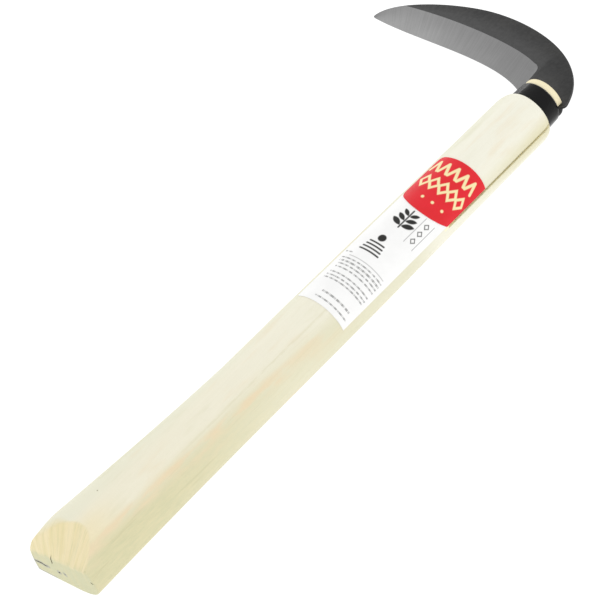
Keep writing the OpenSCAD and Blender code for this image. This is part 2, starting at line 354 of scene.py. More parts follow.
class Graph:
    """Adds nodes to a material or to a node group."""

    def __init__(self, tree: bpy.types.NodeTree) -> None:
        """Takes the tree that the nodes go into."""
        self.tree = tree

    def add(self, kind: str, **settings: object) -> bpy.types.Node:
        """Adds a node.

        Args:
            kind: Type of the node.
            **settings: Values of its properties.

        Returns:
            The node.
        """
        node = self.tree.nodes.new(kind)
        for name, value in settings.items():
            setattr(node, name, value)
        return node

    def feed(self, socket: Socket, value: object) -> None:
        """Feeds an input.

        Args:
            socket: The input.
            value: An output to link, a constant to set, or None to leave the input as it is.
        """
        if isinstance(value, Socket):
            self.tree.links.new(value, socket)
        elif value is not None:
            socket.default_value = value

    def math(self, operation: str, *values: object, clamp: bool = False) -> Socket:
        """Works out one sum.

        Args:
            operation: Name of the sum.
            *values: One to three outputs or constants.
            clamp: Whether the result is held between 0 and 1.

        Returns:
            The result.
        """
        node = self.add("ShaderNodeMath", operation=operation, use_clamp=clamp)
        for socket, value in zip(node.inputs, values):
            self.feed(socket, value)
        return node.outputs[0]

    def product(self, first: Socket, *others: object) -> Socket:
        """Multiplies masks.

        Args:
            first: The first mask.
            *others: Masks or constants.

        Returns:
            The mask that is left where all of them are.
        """
        for other in others:
            first = self.math("MULTIPLY", first, other)
        return first

    def remap(self, value: Socket, span: Span, reach: Span = (0.0, 1.0)) -> Socket:
        """Brings a value smoothly from one span to another.

        Args:
            value: The value.
            span: Where the result starts to change, and where it stops.
            reach: The result at these two.

        Returns:
            The result.
        """
        node = self.add("ShaderNodeMapRange", interpolation_type="SMOOTHSTEP")
        for socket, given in zip(node.inputs, (value, *span, *reach)):
            self.feed(socket, given)
        return node.outputs[0]

    def blend(self, share: object, first: object, second: object) -> Socket:
        """Mixes two colours.

        Args:
            share: Share of the second colour.
            first: The first colour.
            second: The second colour.

        Returns:
            The mixed colour.
        """
        node = self.add("ShaderNodeMix", data_type="RGBA", blend_type="MIX")
        for number, value in ((0, share), (6, first), (7, second)):
            self.feed(node.inputs[number], value)
        return node.outputs[2]

    def layer(self, colour: object, over: object, mask: Socket, share: float = 1.0) -> Socket:
        """Lays a colour over another through a mask, as strongly as share says."""
        return self.blend(mask if share == 1.0 else self.product(mask, share), colour, over)

    def stretch(self, vector: Socket, scale: Triple) -> Socket:
        """Scales a vector, so that a pattern runs at its real size.

        Args:
            vector: The vector.
            scale: Factor along each axis.

        Returns:
            The scaled vector.
        """
        node = self.add("ShaderNodeMapping")
        self.feed(node.inputs["Vector"], vector)
        node.inputs["Scale"].default_value = scale
        return node.outputs[0]

    def noise(
        self, vector: Socket, scale: object, detail: float = 3.0, rough: float = 0.5, warp: object = 0.0
    ) -> Socket:
        """Soft noise, about 0.5 on average.

        Args:
            vector: Where it is read.
            scale: Its waves for each unit of the vector.
            detail: Number of finer layers.
            rough: Strength of the finer layers.
            warp: How far it is bent by itself.

        Returns:
            The noise.
        """
        node = self.add("ShaderNodeTexNoise")
        given = {"Vector": vector, "Scale": scale, "Detail": detail, "Roughness": rough, "Distortion": warp}
        for name, value in given.items():
            self.feed(node.inputs[name], value)
        return node.outputs[0]

    def grain(self, place: Socket, scale: Triple, **look: float) -> Socket:
        """Noise with its own number of waves for each millimetre along each axis."""
        return self.noise(self.stretch(place, scale), 1.0, **look)

    def sheet(self) -> Socket:
        """Place on the piece's own flat sheet, 0 to 1 across it and along it."""
        return self.add("ShaderNodeTexCoord").outputs["UV"]

    def axes(self, vector: Socket) -> Sequence[Socket]:
        """The three parts of a vector.

        Args:
            vector: The vector.

        Returns:
            Its parts along X, Y and Z.
        """
        node = self.add("ShaderNodeSeparateXYZ")
        self.feed(node.inputs[0], vector)
        return node.outputs

    def spot(self, place: Socket, centre: Triple, fade: Span) -> Socket:
        """Soft round spot.

        Args:
            place: Where it is read.
            centre: Its middle.
            fade: Distances from the middle at which it starts and is full.

        Returns:
            The mask.
        """
        away = self.add("ShaderNodeVectorMath", operation="DISTANCE")
        self.feed(away.inputs[0], place)
        self.feed(away.inputs[1], centre)
        return self.remap(away.outputs[1], fade)

    def mark(self, name: str) -> Socket:
        """Value of an attribute of the mesh."""
        return self.add("ShaderNodeAttribute", attribute_name=name).outputs["Fac"]

    def group(self, tree: bpy.types.NodeTree, **inputs: object) -> bpy.types.bpy_prop_collection:
        """Places a shader node group.

        Args:
            tree: The group.
            **inputs: Its inputs, by their names in small letters.

        Returns:
            Its outputs, by name.
        """
        node = self.add("ShaderNodeGroup", node_tree=tree)
        for name, value in inputs.items():
            self.feed(node.inputs[name.capitalize()], value)
        return node.outputs

    def bumps(self, *layers: tuple[Socket, float]) -> Socket | None:
        """Normal raised by layers of height.

        Args:
            *layers: Each layer's height and its depth in metres.

        Returns:
            The normal, or None without layers.
        """
        normal = None
        for height, depth in layers:
            node = self.add("ShaderNodeBump")
            given = {"Strength": 1.0, "Distance": depth, "Height": height, "Normal": normal}
            for name, value in given.items():
                self.feed(node.inputs[name], value)
            normal = node.outputs[0]
        return normal


def new_group(
    name: str, inputs: dict[str, float | None], outputs: Sequence[str]
) -> tuple[bpy.types.NodeTree, Graph, dict[str, Socket], dict[str, Socket]]:
    """Starts a shader node group.

    Args:
        name: Name of the group.
        inputs: Default value of each input by its name, or None for a vector.
        outputs: Names of its outputs, which are all values.

    Returns:
        The group's tree, its graph, its inputs' sockets and its outputs' sockets by name.
    """
    tree = bpy.data.node_groups.new(name, "ShaderNodeTree")
    for label, value in inputs.items():
        kind = "NodeSocketVector" if value is None else "NodeSocketFloat"
        socket = tree.interface.new_socket(label, in_out="INPUT", socket_type=kind)
        if value is not None:
            socket.default_value = value
    for label in outputs:
        tree.interface.new_socket(label, in_out="OUTPUT", socket_type="NodeSocketFloat")
    graph = Graph(tree)
    entry = graph.add("NodeGroupInput")
    leaving = graph.add("NodeGroupOutput")
    return tree, graph, dict(entry.outputs.items()), dict(leaving.inputs.items())


class SharedEffects:
    """Shader node groups that more than one finish uses."""

    def __init__(self) -> None:
        """Builds each group once."""
        self.streaks = self.build_streaks()
        self.mottle = self.build_mottle()
        self.specks = self.build_specks()
        self.rubbed = self.build_rubbed()

    @staticmethod
    def build_streaks() -> bpy.types.NodeTree:
        """Fine lines along X: fibres of wood, or the marks of a grinding wheel.

        Returns:
            The group.
        """
        tree, graph, given, out = new_group(
            "long_streaks", {"Vector": None, "Along": 0.02, "Across": 1.0, "Warp": 0.2}, ("Mask", "Fine")
        )
        scale = graph.add("ShaderNodeCombineXYZ")
        for socket, name in zip(scale.inputs, ("Along", "Across", "Across")):
            graph.feed(socket, given[name])
        drawn = graph.add("ShaderNodeVectorMath", operation="MULTIPLY")
        graph.feed(drawn.inputs[0], given["Vector"])
        graph.feed(drawn.inputs[1], scale.outputs[0])
        coarse = graph.noise(drawn.outputs[0], 1.0, detail=2.0, warp=given["Warp"])
        fine = graph.noise(drawn.outputs[0], 4.3, detail=4.0, rough=0.7)
        graph.feed(out["Mask"], graph.remap(coarse, (0.3, 0.7)))
        graph.feed(out["Fine"], graph.remap(fine, (0.25, 0.75)))
        return tree

    @staticmethod
    def build_mottle() -> bpy.types.NodeTree:
        """Uneven patches at two scales, the finer nine times as small.

        Returns:
            The group.
        """
        tree, graph, given, out = new_group("soft_mottle", {"Vector": None, "Scale": 0.1}, ("Mask", "Fine"))
        broad = graph.noise(given["Vector"], given["Scale"], detail=2.0)
        finer = graph.product(given["Scale"], 9.0)
        small = graph.noise(given["Vector"], finer, detail=5.0, rough=0.65)
        graph.feed(out["Mask"], graph.remap(broad, (0.32, 0.68)))
        graph.feed(out["Fine"], graph.remap(small, (0.3, 0.7)))
        return tree

    @staticmethod
    def build_specks() -> bpy.types.NodeTree:
        """Sparse round specks, such as pits and grains of dust.

        Returns:
            The group.
        """
        tree, graph, given, out = new_group(
            "sparse_specks", {"Vector": None, "Scale": 0.4, "Size": 0.1, "Share": 0.2}, ("Mask",)
        )
        cells = graph.add("ShaderNodeTexVoronoi")
        graph.feed(cells.inputs["Vector"], given["Vector"])
        graph.feed(cells.inputs["Scale"], given["Scale"])
        near = graph.math("LESS_THAN", cells.outputs["Distance"], given["Size"])
        pick = graph.add("ShaderNodeSeparateColor")
        graph.feed(pick.inputs[0], cells.outputs["Color"])
        chosen = graph.math("LESS_THAN", pick.outputs[0], given["Share"])
        graph.feed(out["Mask"], graph.product(near, chosen))
        return tree

    @staticmethod
    def build_rubbed() -> bpy.types.NodeTree:
        """Wear along edges, broken up so that it comes and goes.

        Returns:
            The group.
        """
        tree, graph, given, out = new_group(
            "rubbed_edges", {"Vector": None, "Edge": 0.0, "Scale": 0.5, "Wear": 0.5}, ("Mask",)
        )
        broken = graph.noise(given["Vector"], given["Scale"], detail=4.0, rough=0.6)
        worn = graph.math("ADD", given["Edge"], graph.product(broken, given["Wear"]))
        kept = graph.math("SUBTRACT", worn, 1.0)
        graph.feed(out["Mask"], graph.math("MULTIPLY", kept, 2.5, clamp=True))
        return tree


class MaterialGraph(Graph):
    """Graph of a material, with what its patterns read.

    Attributes:
        effects: The shared shader groups.
        place: Object coordinates in millimetres.
    """

    def __init__(self, tree: bpy.types.NodeTree, effects: SharedEffects) -> None:
        """Starts the graph.

        Args:
            tree: Tree that the nodes go into.
            effects: The shared shader groups.
        """
        super().__init__(tree)
        self.effects = effects
        self.place = self.stretch(self.add("ShaderNodeTexCoord").outputs["Object"], (PER_METRE,) * 3)


def grey(level: float) -> Colour:
    """Opaque grey of a linear level."""
    return (level, level, level, 1.0)


def screen(red: int, green: int, blue: int) -> Colour:
    """Linear colour for a colour given as it looks on a screen.

    Args:
        red: Red, 0 to 255.
        green: Green, 0 to 255.
        blue: Blue, 0 to 255.

    Returns:
        The opaque linear colour.
    """
    def linear(level: int) -> float:
        """One channel, from the screen's curve to linear."""
        share = level / 255.0
        return share / 12.92 if share <= 0.04045 else ((share + 0.055) / 1.055) ** 2.4

    return (linear(red), linear(green), linear(blue), 1.0)


class Finish:
    """Finish with one Principled shader, which each kind of finish dresses in its own way.

    Attributes:
        name: Name of the material.
        base: Its plain colour.
    """

    name: str
    base: Colour

    def build(self, effects: SharedEffects) -> bpy.types.Material:
        """Builds the material.

        Args:
            effects: The shared shader groups.

        Returns:
            The material.
        """
        material = bpy.data.materials.new(self.name)
        material.use_nodes = True
        material.diffuse_color = self.base
        shader = next(n for n in material.node_tree.nodes if n.type == "BSDF_PRINCIPLED")
        graph = MaterialGraph(material.node_tree, effects)
        for name, value in self.look(graph).items():
            graph.feed(shader.inputs[name], value)
        return material

    def look(self, graph: MaterialGraph) -> dict[str, object]:
        """Works out what the shader is fed.

        Args:
            graph: Graph of the material.

        Returns:
            What each of the shader's inputs is fed.
        """
        raise NotImplementedError


@dataclass(frozen=True)
class WoodTones:
    """Colours of the wood.

    Attributes:
        upper, lower: On top, near the ferrule and near the butt.
        olive, rosy: Of the band along the side, and of the streak along its edge.
        line: Of the thin line and the hair lines along the grain.
        carved, bright: Of the carved facet, and of its lighter streaks.
        sawn: Of the flat sawn end.
        shaded: Toward the far side.
        slotted, walls: Along the sawn slot, and the painted light on its walls.
        tenon: Of the tenon.
        greyed: Of the grey line along the butt's lower edge.
        enamel: Black of the painted shade in the gap under the blade's neck, laid on the tenon's underside.
        soiled: Of rubbed edges and of the one small knot.
    """

    upper: Colour = screen(245, 243, 228)
    lower: Colour = screen(240, 235, 214)
    olive: Colour = screen(211, 208, 169)
    rosy: Colour = screen(237, 217, 182)
    line: Colour = screen(206, 200, 160)
    carved: Colour = screen(231, 218, 171)
    bright: Colour = screen(240, 226, 186)
    sawn: Colour = screen(210, 209, 174)
    shaded: Colour = screen(231, 230, 209)
    slotted: Colour = screen(223, 216, 178)
    walls: Colour = screen(255, 248, 214)
    tenon: Colour = screen(246, 234, 196)
    greyed: Colour = screen(182, 182, 168)
    enamel: Colour = screen(34, 34, 34)
    soiled: Colour = screen(120, 112, 70)

    @classmethod
    def one(cls, colour: Colour) -> Self:
        """Tones that are all the same."""
        return cls(*(colour,) * len(fields(cls)))


@dataclass(frozen=True)
class PlanedWood(Finish):
    """Bare pale softwood: planed along the grain, carved and sawn across it at the butt.

    A span gives where a mask starts and where it is full: along the handle, in millimetres from
    the butt, or across it, in millimetres past the ridge between its top and its side.

    Attributes:
        tones: Its colours.
        toward_butt: Span along which the top turns from the upper tone to the lower one.
        far_side: Span across which the far side gets its shade.
        butt_along, butt_across: Spans of the facet's tone on the skin beside it.
        band_along, band_across: Spans of the olive band, before it wanders.
        label_near, label_far, label_across: Spans of the olive strip beside the white label.
        streak_along, streak_across: Spans of the rosy streak, the second toward its middle.
        streak_slope, streak_start: Slope of its middle, and its place across at the butt.
        line_near, line_far, line_across: Spans of the thin line, the last toward its middle.
        slot_middle, slot_half, slot_start: Height, half width and start of the sawn slot.
        slot_along, slot_spread: Spans of the tone beside it, the second toward its middle.
        end_reach, end_drop: Where the butt's edge gets its grey line, along the handle and in height.
        tenon_start, painted_shade_top: Where the tenon starts, and the height below which its painted shade
            lies.
        knot, knot_fade: Place of the knot, and the span toward its middle.
        flat_slope, flat_fade: Slope of the facet's lower edge, and the span past it.
    """

    name: str = "planed_softwood"
    tones: WoodTones = WoodTones()
    toward_butt: Span = (330.0, 20.0)
    far_side: Span = (-15.0, -25.0)
    butt_along: Span = (42.0, 12.0)
    butt_across: Span = (-22.0, -8.0)
    band_along: Span = (240.0, 15.0)
    band_across: Span = (-5.0, 14.0)
    label_near: Span = (130.0, 185.0)
    label_far: Span = (262.0, 235.0)
    label_across: Span = (2.0, 13.0)
    streak_along: Span = (225.0, 110.0)
    streak_across: Span = (7.0, 1.5)
    streak_slope: float = 0.065
    streak_start: float = 2.0
    line_near: Span = (60.0, 90.0)
    line_far: Span = (300.0, 250.0)
    line_across: Span = (1.4, 0.3)
    slot_middle: float = -1.1
    slot_half: float = 0.82
    slot_start: float = 262.0
    slot_along: Span = (250.0, 345.0)
    slot_spread: Span = (9.0, 1.0)
    end_reach: float = 1.6
    end_drop: Span = (-5.0, -8.0)
    tenon_start: float = 363.5
    painted_shade_top: float = -1.85
    knot: Triple = (34.6, 5.9, 17.0)
    knot_fade: Span = (0.54, 0.225)
    flat_slope: float = 0.085
    flat_fade: Span = (-2.0, 1.8)

    @property
    def base(self) -> Colour:
        """Plain colour of the wood."""
        return self.tones.upper

    def look(self, graph: MaterialGraph) -> dict[str, object]:
        """Works out what the shader is fed.

        Args:
            graph: Graph of the material.

        Returns:
            What each of the shader's inputs is fed.
        """
        tones = self.tones
        fibres = graph.group(graph.effects.streaks, vector=graph.place, along=0.012, across=0.9, warp=0.3)
        edge = graph.mark("worn")
        rubbed = graph.group(graph.effects.rubbed, vector=graph.place, edge=edge, scale=0.35, wear=0.7)
        colour = self.side(graph, self.top(graph))
        colour = self.slot(graph, colour)
        colour = graph.layer(colour, tones.olive, fibres["Fine"], 0.12)
        colour = graph.layer(colour, self.cut(graph), graph.mark("sawn"))
        colour = graph.layer(colour, tones.soiled, rubbed["Mask"], 0.12)
        colour = graph.layer(colour, tones.soiled, graph.spot(graph.place, self.knot, self.knot_fade), 0.7)
        return {
            "Base Color": self.ends(graph, colour),
            "Roughness": graph.remap(fibres["Mask"], (0.0, 1.0), (0.55, 0.72)),
            "Specular IOR Level": 0.2,
            "Normal": graph.bumps((fibres["Mask"], 0.00003), (fibres["Fine"], 0.00003)),
        }

    def past_ridge(self, graph: MaterialGraph) -> Socket:
        """Distance past the ridge between the top and the side, toward the side.

        Args:
            graph: Graph of the material.

        Returns:
            The distance, in millimetres.
        """
        _, y, z = graph.axes(graph.place)
        return graph.math("MULTIPLY", graph.math("ADD", y, z), -1.0)

    def top(self, graph: MaterialGraph) -> Socket:
        """Colour of the top, without what the side adds.

        Args:
            graph: Graph of the material.

        Returns:
            The colour.
        """
        x, _, _ = graph.axes(graph.place)
        past = self.past_ridge(graph)
        colour = graph.blend(graph.remap(x, self.toward_butt), self.tones.upper, self.tones.lower)
        colour = graph.layer(colour, self.tones.shaded, graph.remap(past, self.far_side), 0.7)
        butt = graph.product(graph.remap(x, self.butt_along), graph.remap(past, self.butt_across))
        return graph.layer(colour, self.tones.bright, butt, 0.75)

    def side(self, graph: MaterialGraph, colour: Socket) -> Socket:
        """Lays the olive band, the blotches, the rosy streak and the thin lines over a colour.

        Args:
            graph: Graph of the material.
            colour: The colour beneath.

        Returns:
            The colour.
        """
        tones = self.tones
        x, _, _ = graph.axes(graph.place)
        past = self.past_ridge(graph)
        # The band and the streak wander up to 6 mm either way, the thin line 1.5 mm
        wander = graph.grain(graph.place, (0.012, 0.07, 0.07), detail=3.0)
        bent = graph.math("MULTIPLY_ADD", wander, 12.0, graph.math("SUBTRACT", past, 6.0))
        lined = graph.math("MULTIPLY_ADD", wander, 3.0, graph.math("SUBTRACT", past, 1.5))
        patches = graph.group(graph.effects.streaks, vector=graph.place, along=0.03, across=0.16, warp=0.4)
        band = graph.product(graph.remap(bent, self.band_across), graph.remap(x, self.band_along))
        colour = graph.layer(colour, tones.olive, band)
        strip = graph.product(graph.remap(x, self.label_far), graph.remap(x, self.label_near))
        strip = graph.product(graph.remap(past, self.label_across), strip)
        colour = graph.layer(colour, tones.olive, strip, 0.4)
        colour = graph.layer(colour, tones.bright, graph.product(patches["Fine"], band), 0.4)
        # Faint rosy and olive blotches everywhere
        blotches = graph.grain(graph.place, (0.03, 0.12, 0.12), detail=3.0)
        colour = graph.layer(colour, tones.rosy, graph.remap(blotches, (0.52, 0.75)), 0.3)
        colour = graph.layer(colour, tones.olive, graph.remap(blotches, (0.46, 0.25)), 0.25)
        # The rosy streak, broken up
        middle = graph.math("MULTIPLY_ADD", x, self.streak_slope, self.streak_start)
        off = graph.math("ABSOLUTE", graph.math("SUBTRACT", bent, middle))
        streak = graph.product(graph.remap(off, self.streak_across), graph.remap(x, self.streak_along))
        broken = graph.remap(graph.grain(graph.place, (0.05, 0.2, 0.2), detail=3.0), (0.35, 0.62))
        colour = graph.layer(colour, tones.rosy, graph.product(streak, broken), 0.8)
        # Hair lines on the side, and one thin line along the ridge
        hairs = graph.remap(graph.grain(graph.place, (0.02, 0.7, 0.7), detail=2.0), (0.6, 0.72))
        colour = graph.layer(colour, tones.line, graph.product(hairs, band), 0.5)
        thin = graph.product(
            graph.remap(graph.math("ABSOLUTE", lined), self.line_across),
            graph.remap(x, self.line_near),
            graph.remap(x, self.line_far),
            graph.remap(patches["Fine"], (0.1, 0.6)),
        )
        return graph.layer(colour, tones.line, thin, 0.22)

    def slot(self, graph: MaterialGraph, colour: Socket) -> Socket:
        """Lays yellower wood beside the sawn slot, and painted light on its walls: a tone paler than the
        wood, against the shade inside the slot.

        Args:
            graph: Graph of the material.
            colour: The colour beneath.

        Returns:
            The colour.
        """
        x, y, z = graph.axes(graph.place)
        off = graph.math("ABSOLUTE", graph.math("SUBTRACT", z, self.slot_middle))
        beside = graph.product(graph.remap(off, self.slot_spread), graph.math("LESS_THAN", y, 0.0))
        beside = graph.product(beside, graph.remap(x, self.slot_along))
        colour = graph.layer(colour, self.tones.slotted, beside, 0.8)
        # Painted light: the slot's walls are laid paler than the wood, to lift the shade inside the slot
        inside = graph.math("LESS_THAN", off, self.slot_half)
        walls = graph.product(inside, graph.math("GREATER_THAN", x, self.slot_start))
        return graph.layer(colour, self.tones.walls, walls)

    def ends(self, graph: MaterialGraph, colour: Socket) -> Socket:
        """Lays a grey line along the butt's lower edge, and the tenon: yellow above, black painted shade
        below.

        Args:
            graph: Graph of the material.
            colour: The colour beneath.

        Returns:
            The colour.
        """
        x, _, z = graph.axes(graph.place)
        worn = graph.remap(graph.mark("worn"), (0.1, 0.6))
        edge = graph.product(worn, graph.math("LESS_THAN", x, self.end_reach))
        edge = graph.product(edge, graph.remap(z, self.end_drop))
        colour = graph.layer(colour, self.tones.greyed, edge, 0.85)
        tenon = graph.math("GREATER_THAN", x, self.tenon_start)
        colour = graph.layer(colour, self.tones.tenon, tenon, 0.9)
        # Painted shade: the tenon's underside is laid black, for the shaded gap under the blade's neck
        under = graph.product(tenon, graph.math("LESS_THAN", z, self.painted_shade_top))
        return graph.layer(colour, self.tones.enamel, under)

    def cut(self, graph: MaterialGraph) -> Socket:
        """Colour across the grain: streaks up the carved facet, and the greyer sawn flat.

        Args:
            graph: Graph of the material.

        Returns:
            The colour.
        """
        tones = self.tones
        broad = graph.grain(graph.place, (0.03, 0.3, 0.03), detail=3.0, rough=0.6, warp=0.3)
        fine = graph.grain(graph.place, (0.06, 1.3, 0.06), detail=3.0, rough=0.7)
        facet = graph.blend(graph.remap(broad, (0.35, 0.65)), tones.carved, tones.bright)
        facet = graph.layer(facet, tones.olive, graph.remap(fine, (0.45, 0.75)), 0.55)
        flat = graph.layer(tones.sawn, tones.carved, graph.remap(broad, (0.4, 0.7)), 0.3)
        flat = graph.layer(flat, tones.olive, graph.remap(fine, (0.4, 0.75)), 0.4)
        # Height above the line along which the facet leaves the flat, made uneven
        _, y, z = graph.axes(graph.place)
        uneven = graph.math("MULTIPLY_ADD", broad, 5.0, -3.6)
        above = graph.math("ADD", graph.math("MULTIPLY_ADD", y, self.flat_slope, z), uneven)
        return graph.blend(graph.remap(above, self.flat_fade), flat, facet)


@dataclass(frozen=True)
class ForgeScale(Finish):
    """Dark scale that the forge leaves on the flats of the blade.

    Attributes:
        brown: Colour of its browner patches.
        pale: Colour of the thinner scale near the tip and along the bevel.
        bright: Colour of the bare steel on rubbed edges and in specks.
        rough: Least and greatest roughness.
        toward_tip: Distances from the handle's axis at which the thinner scale starts and is full.
        toward_bevel: Places across the blade's sheet at which it starts and is full.
    """

    name: str = "forge_scale"
    base: Colour = grey(0.004)
    brown: Colour = screen(34, 33, 31)
    pale: Colour = grey(0.04)
    bright: Colour = grey(0.32)
    rough: Span = (0.48, 0.58)
    toward_tip: Span = (70.0, 170.0)
    toward_bevel: Span = (0.44, 0.24)

    def look(self, graph: MaterialGraph) -> dict[str, object]:
        """Works out what the shader is fed.

        Args:
            graph: Graph of the material.

        Returns:
            What each of the shader's inputs is fed.
        """
        mottle = graph.group(graph.effects.mottle, vector=graph.place, scale=0.05)
        edge = graph.mark("worn")
        rubbed = graph.group(graph.effects.rubbed, vector=graph.place, edge=edge, scale=0.6, wear=0.55)
        specks = graph.group(graph.effects.specks, vector=graph.place, scale=0.11, size=0.045, share=0.3)
        _, y, _ = graph.axes(graph.place)
        across, _, _ = graph.axes(graph.sheet())
        colour = graph.layer(self.base, self.brown, mottle["Mask"], 0.7)
        colour = graph.layer(colour, self.pale, graph.remap(y, self.toward_tip), 0.6)
        colour = graph.layer(colour, self.pale, graph.remap(across, self.toward_bevel), 0.8)
        bare = graph.math("MAXIMUM", graph.product(rubbed["Mask"], 0.35), specks["Mask"])
        return {
            "Base Color": graph.blend(bare, colour, self.bright),
            "Metallic": graph.product(bare, 0.9),
            "Roughness": graph.remap(mottle["Fine"], (0.0, 1.0), self.rough),
            "Specular IOR Level": 0.28,
            "Normal": graph.bumps((mottle["Mask"], 0.000012), (mottle["Fine"], 0.000006)),
        }


@dataclass(frozen=True)
class GroundSteel(Finish):
    """Bevel of the blade, ground bright across its width.

    Attributes:
        dull: Colour of the duller steel near the heel and along the flat.
        rough: Least and greatest roughness.
        sheet_size: Width and length of the blade's whole sheet, in millimetres.
        toward_heel: Distances from the handle's axis at which the duller steel starts and is full.
        toward_flat: Places across the blade's sheet at which it starts and is full.
    """

    name: str = "ground_steel"
    base: Colour = grey(0.335)
    dull: Colour = grey(0.18)
    rough: Span = (0.34, 0.5)
    sheet_size: tuple[float, float] = (60.0, 165.0)
    toward_heel: Span = (150.0, 10.0)
    toward_flat: Span = (0.02, 0.2)

    def look(self, graph: MaterialGraph) -> dict[str, object]:
        """Works out what the shader is fed.

        Args:
            graph: Graph of the material.

        Returns:
            What each of the shader's inputs is fed.
        """
        sheet = graph.sheet()
        ground = graph.stretch(sheet, (*self.sheet_size, 0.0))
        lines = graph.group(graph.effects.streaks, vector=ground, along=0.06, across=1.7, warp=0.1)
        mottle = graph.group(graph.effects.mottle, vector=graph.place, scale=0.05)
        _, y, _ = graph.axes(graph.place)
        across, _, _ = graph.axes(sheet)
        colour = graph.layer(self.base, self.dull, graph.remap(y, self.toward_heel), 0.75)
        colour = graph.layer(colour, self.dull, graph.remap(across, self.toward_flat), 0.55)
        colour = graph.layer(colour, self.dull, lines["Fine"], 0.09)
        return {
            "Base Color": graph.layer(colour, self.dull, mottle["Mask"], 0.2),
            "Metallic": 1.0,
            "Roughness": graph.remap(lines["Mask"], (0.0, 1.0), self.rough),
            "Normal": graph.bumps((lines["Fine"], 0.000006), (mottle["Fine"], 0.000004)),
        }


@dataclass(frozen=True)
class BlackEnamel(Finish):
    """Glossy black enamel on pressed steel, rubbed thin along the rim.

    Attributes:
        steel: Colour of the bare steel.
        dust: Colour of the grains of dust.
        rough: Least and greatest roughness.
    """

    name: str = "black_enamel"
    base: Colour = screen(9, 9, 10)
    steel: Colour = grey(0.4)
    dust: Colour = grey(0.3)
    rough: Span = (0.12, 0.22)

    def look(self, graph: MaterialGraph) -> dict[str, object]:
        """Works out what the shader is fed.

        Args:
            graph: Graph of the material.

        Returns:
            What each of the shader's inputs is fed.
        """
        mottle = graph.group(graph.effects.mottle, vector=graph.place, scale=0.22)
        edge = graph.mark("worn")
        rubbed = graph.group(graph.effects.rubbed, vector=graph.place, edge=edge, scale=0.9, wear=0.45)
        grains = graph.group(graph.effects.specks, vector=graph.place, scale=0.9, size=0.1, share=0.06)
        bare = graph.product(rubbed["Mask"], 0.5)
        colour = graph.blend(bare, self.base, self.steel)
        return {
            "Base Color": graph.layer(colour, self.dust, grains["Mask"], 0.25),
            "Metallic": bare,
            "Roughness": graph.remap(mottle["Fine"], (0.0, 1.0), self.rough),
            "Specular IOR Level": 0.16,
            "Normal": graph.bumps((mottle["Mask"], 0.00006), (mottle["Fine"], 0.000006)),
        }


@dataclass(frozen=True)
class CoatedPaper(Finish):
    """Coated paper with ink where the mesh says so.

    Attributes:
        shade: Colour of its uneven patches.
        ink: Colour of the print.
        rubbed: Colour of its rubbed edges.
        rough: Least and greatest roughness.
    """

    name: str
    base: Colour
    shade: Colour
    ink: Colour
    rubbed: Colour = grey(0.75)
    rough: Span = (0.38, 0.5)

    def look(self, graph: MaterialGraph) -> dict[str, object]:
        """Works out what the shader is fed.

        Args:
            graph: Graph of the material.

        Returns:
            What each of the shader's inputs is fed.
        """
        mottle = graph.group(graph.effects.mottle, vector=graph.place, scale=0.12)
        fibres = graph.group(graph.effects.streaks, vector=graph.place, along=0.5, across=1.3, warp=1.5)
        edge = graph.mark("worn")
        rubbed = graph.group(graph.effects.rubbed, vector=graph.place, edge=edge, scale=0.8, wear=0.6)
        colour = graph.layer(self.base, self.shade, mottle["Mask"], 0.5)
        colour = graph.layer(colour, self.shade, fibres["Fine"], 0.12)
        colour = graph.layer(colour, self.rubbed, rubbed["Mask"], 0.35)
        return {
            "Base Color": graph.layer(colour, self.ink, graph.mark("ink")),
            "Roughness": graph.remap(mottle["Fine"], (0.0, 1.0), self.rough),
            "Specular IOR Level": 0.22,
            "Normal": graph.bumps((fibres["Fine"], 0.000006), (mottle["Mask"], 0.00003)),
        }


@dataclass(frozen=True)
class PaleFloor(Finish):
    """Plain white sweep under the sickle, which glows as a light table does.

    Attributes:
        shade: Colour of its faint patches.
        glow: Strength of its own light.
    """

    name: str = "pale_sweep"
    base: Colour = grey(0.1)
    shade: Colour = grey(0.09)
    glow: float = 1.0

    def look(self, graph: MaterialGraph) -> dict[str, object]:
        """Works out what the shader is fed.

        Args:
            graph: Graph of the material.

        Returns:
            What each of the shader's inputs is fed.
        """
        mottle = graph.group(graph.effects.mottle, vector=graph.place, scale=0.004)
        return {
            "Base Color": graph.layer(self.base, self.shade, mottle["Mask"]),
            "Roughness": 0.7,
            "Emission Color": grey(1.0),
            "Emission Strength": self.glow,
        }


# Curves and forms


@dataclass(frozen=True)
class PulledCurve:
    """Cubic curve between two points, its handles given as shares of the way between them.

    Attributes:
        start: Where it starts.
        end: Where it ends.
        pulls: Shares in x and in y, of the handle near its start and of the one near its end.
    """

    start: Pair
    end: Pair
    pulls: Pulls

    def at(self, share: float) -> Vector:
        """Point of the curve.

        Args:
            share: Share of the curve's way.

        Returns:
            The point.
        """
        start, end = Vector(self.start), Vector(self.end)
        near, far = (
            Vector((mix(start.x, end.x, pull[0]), mix(start.y, end.y, pull[1]))) for pull in self.pulls
        )
        rest = 1.0 - share
        return rest**3 * start + 3 * rest**2 * share * near + 3 * rest * share**2 * far + share**3 * end


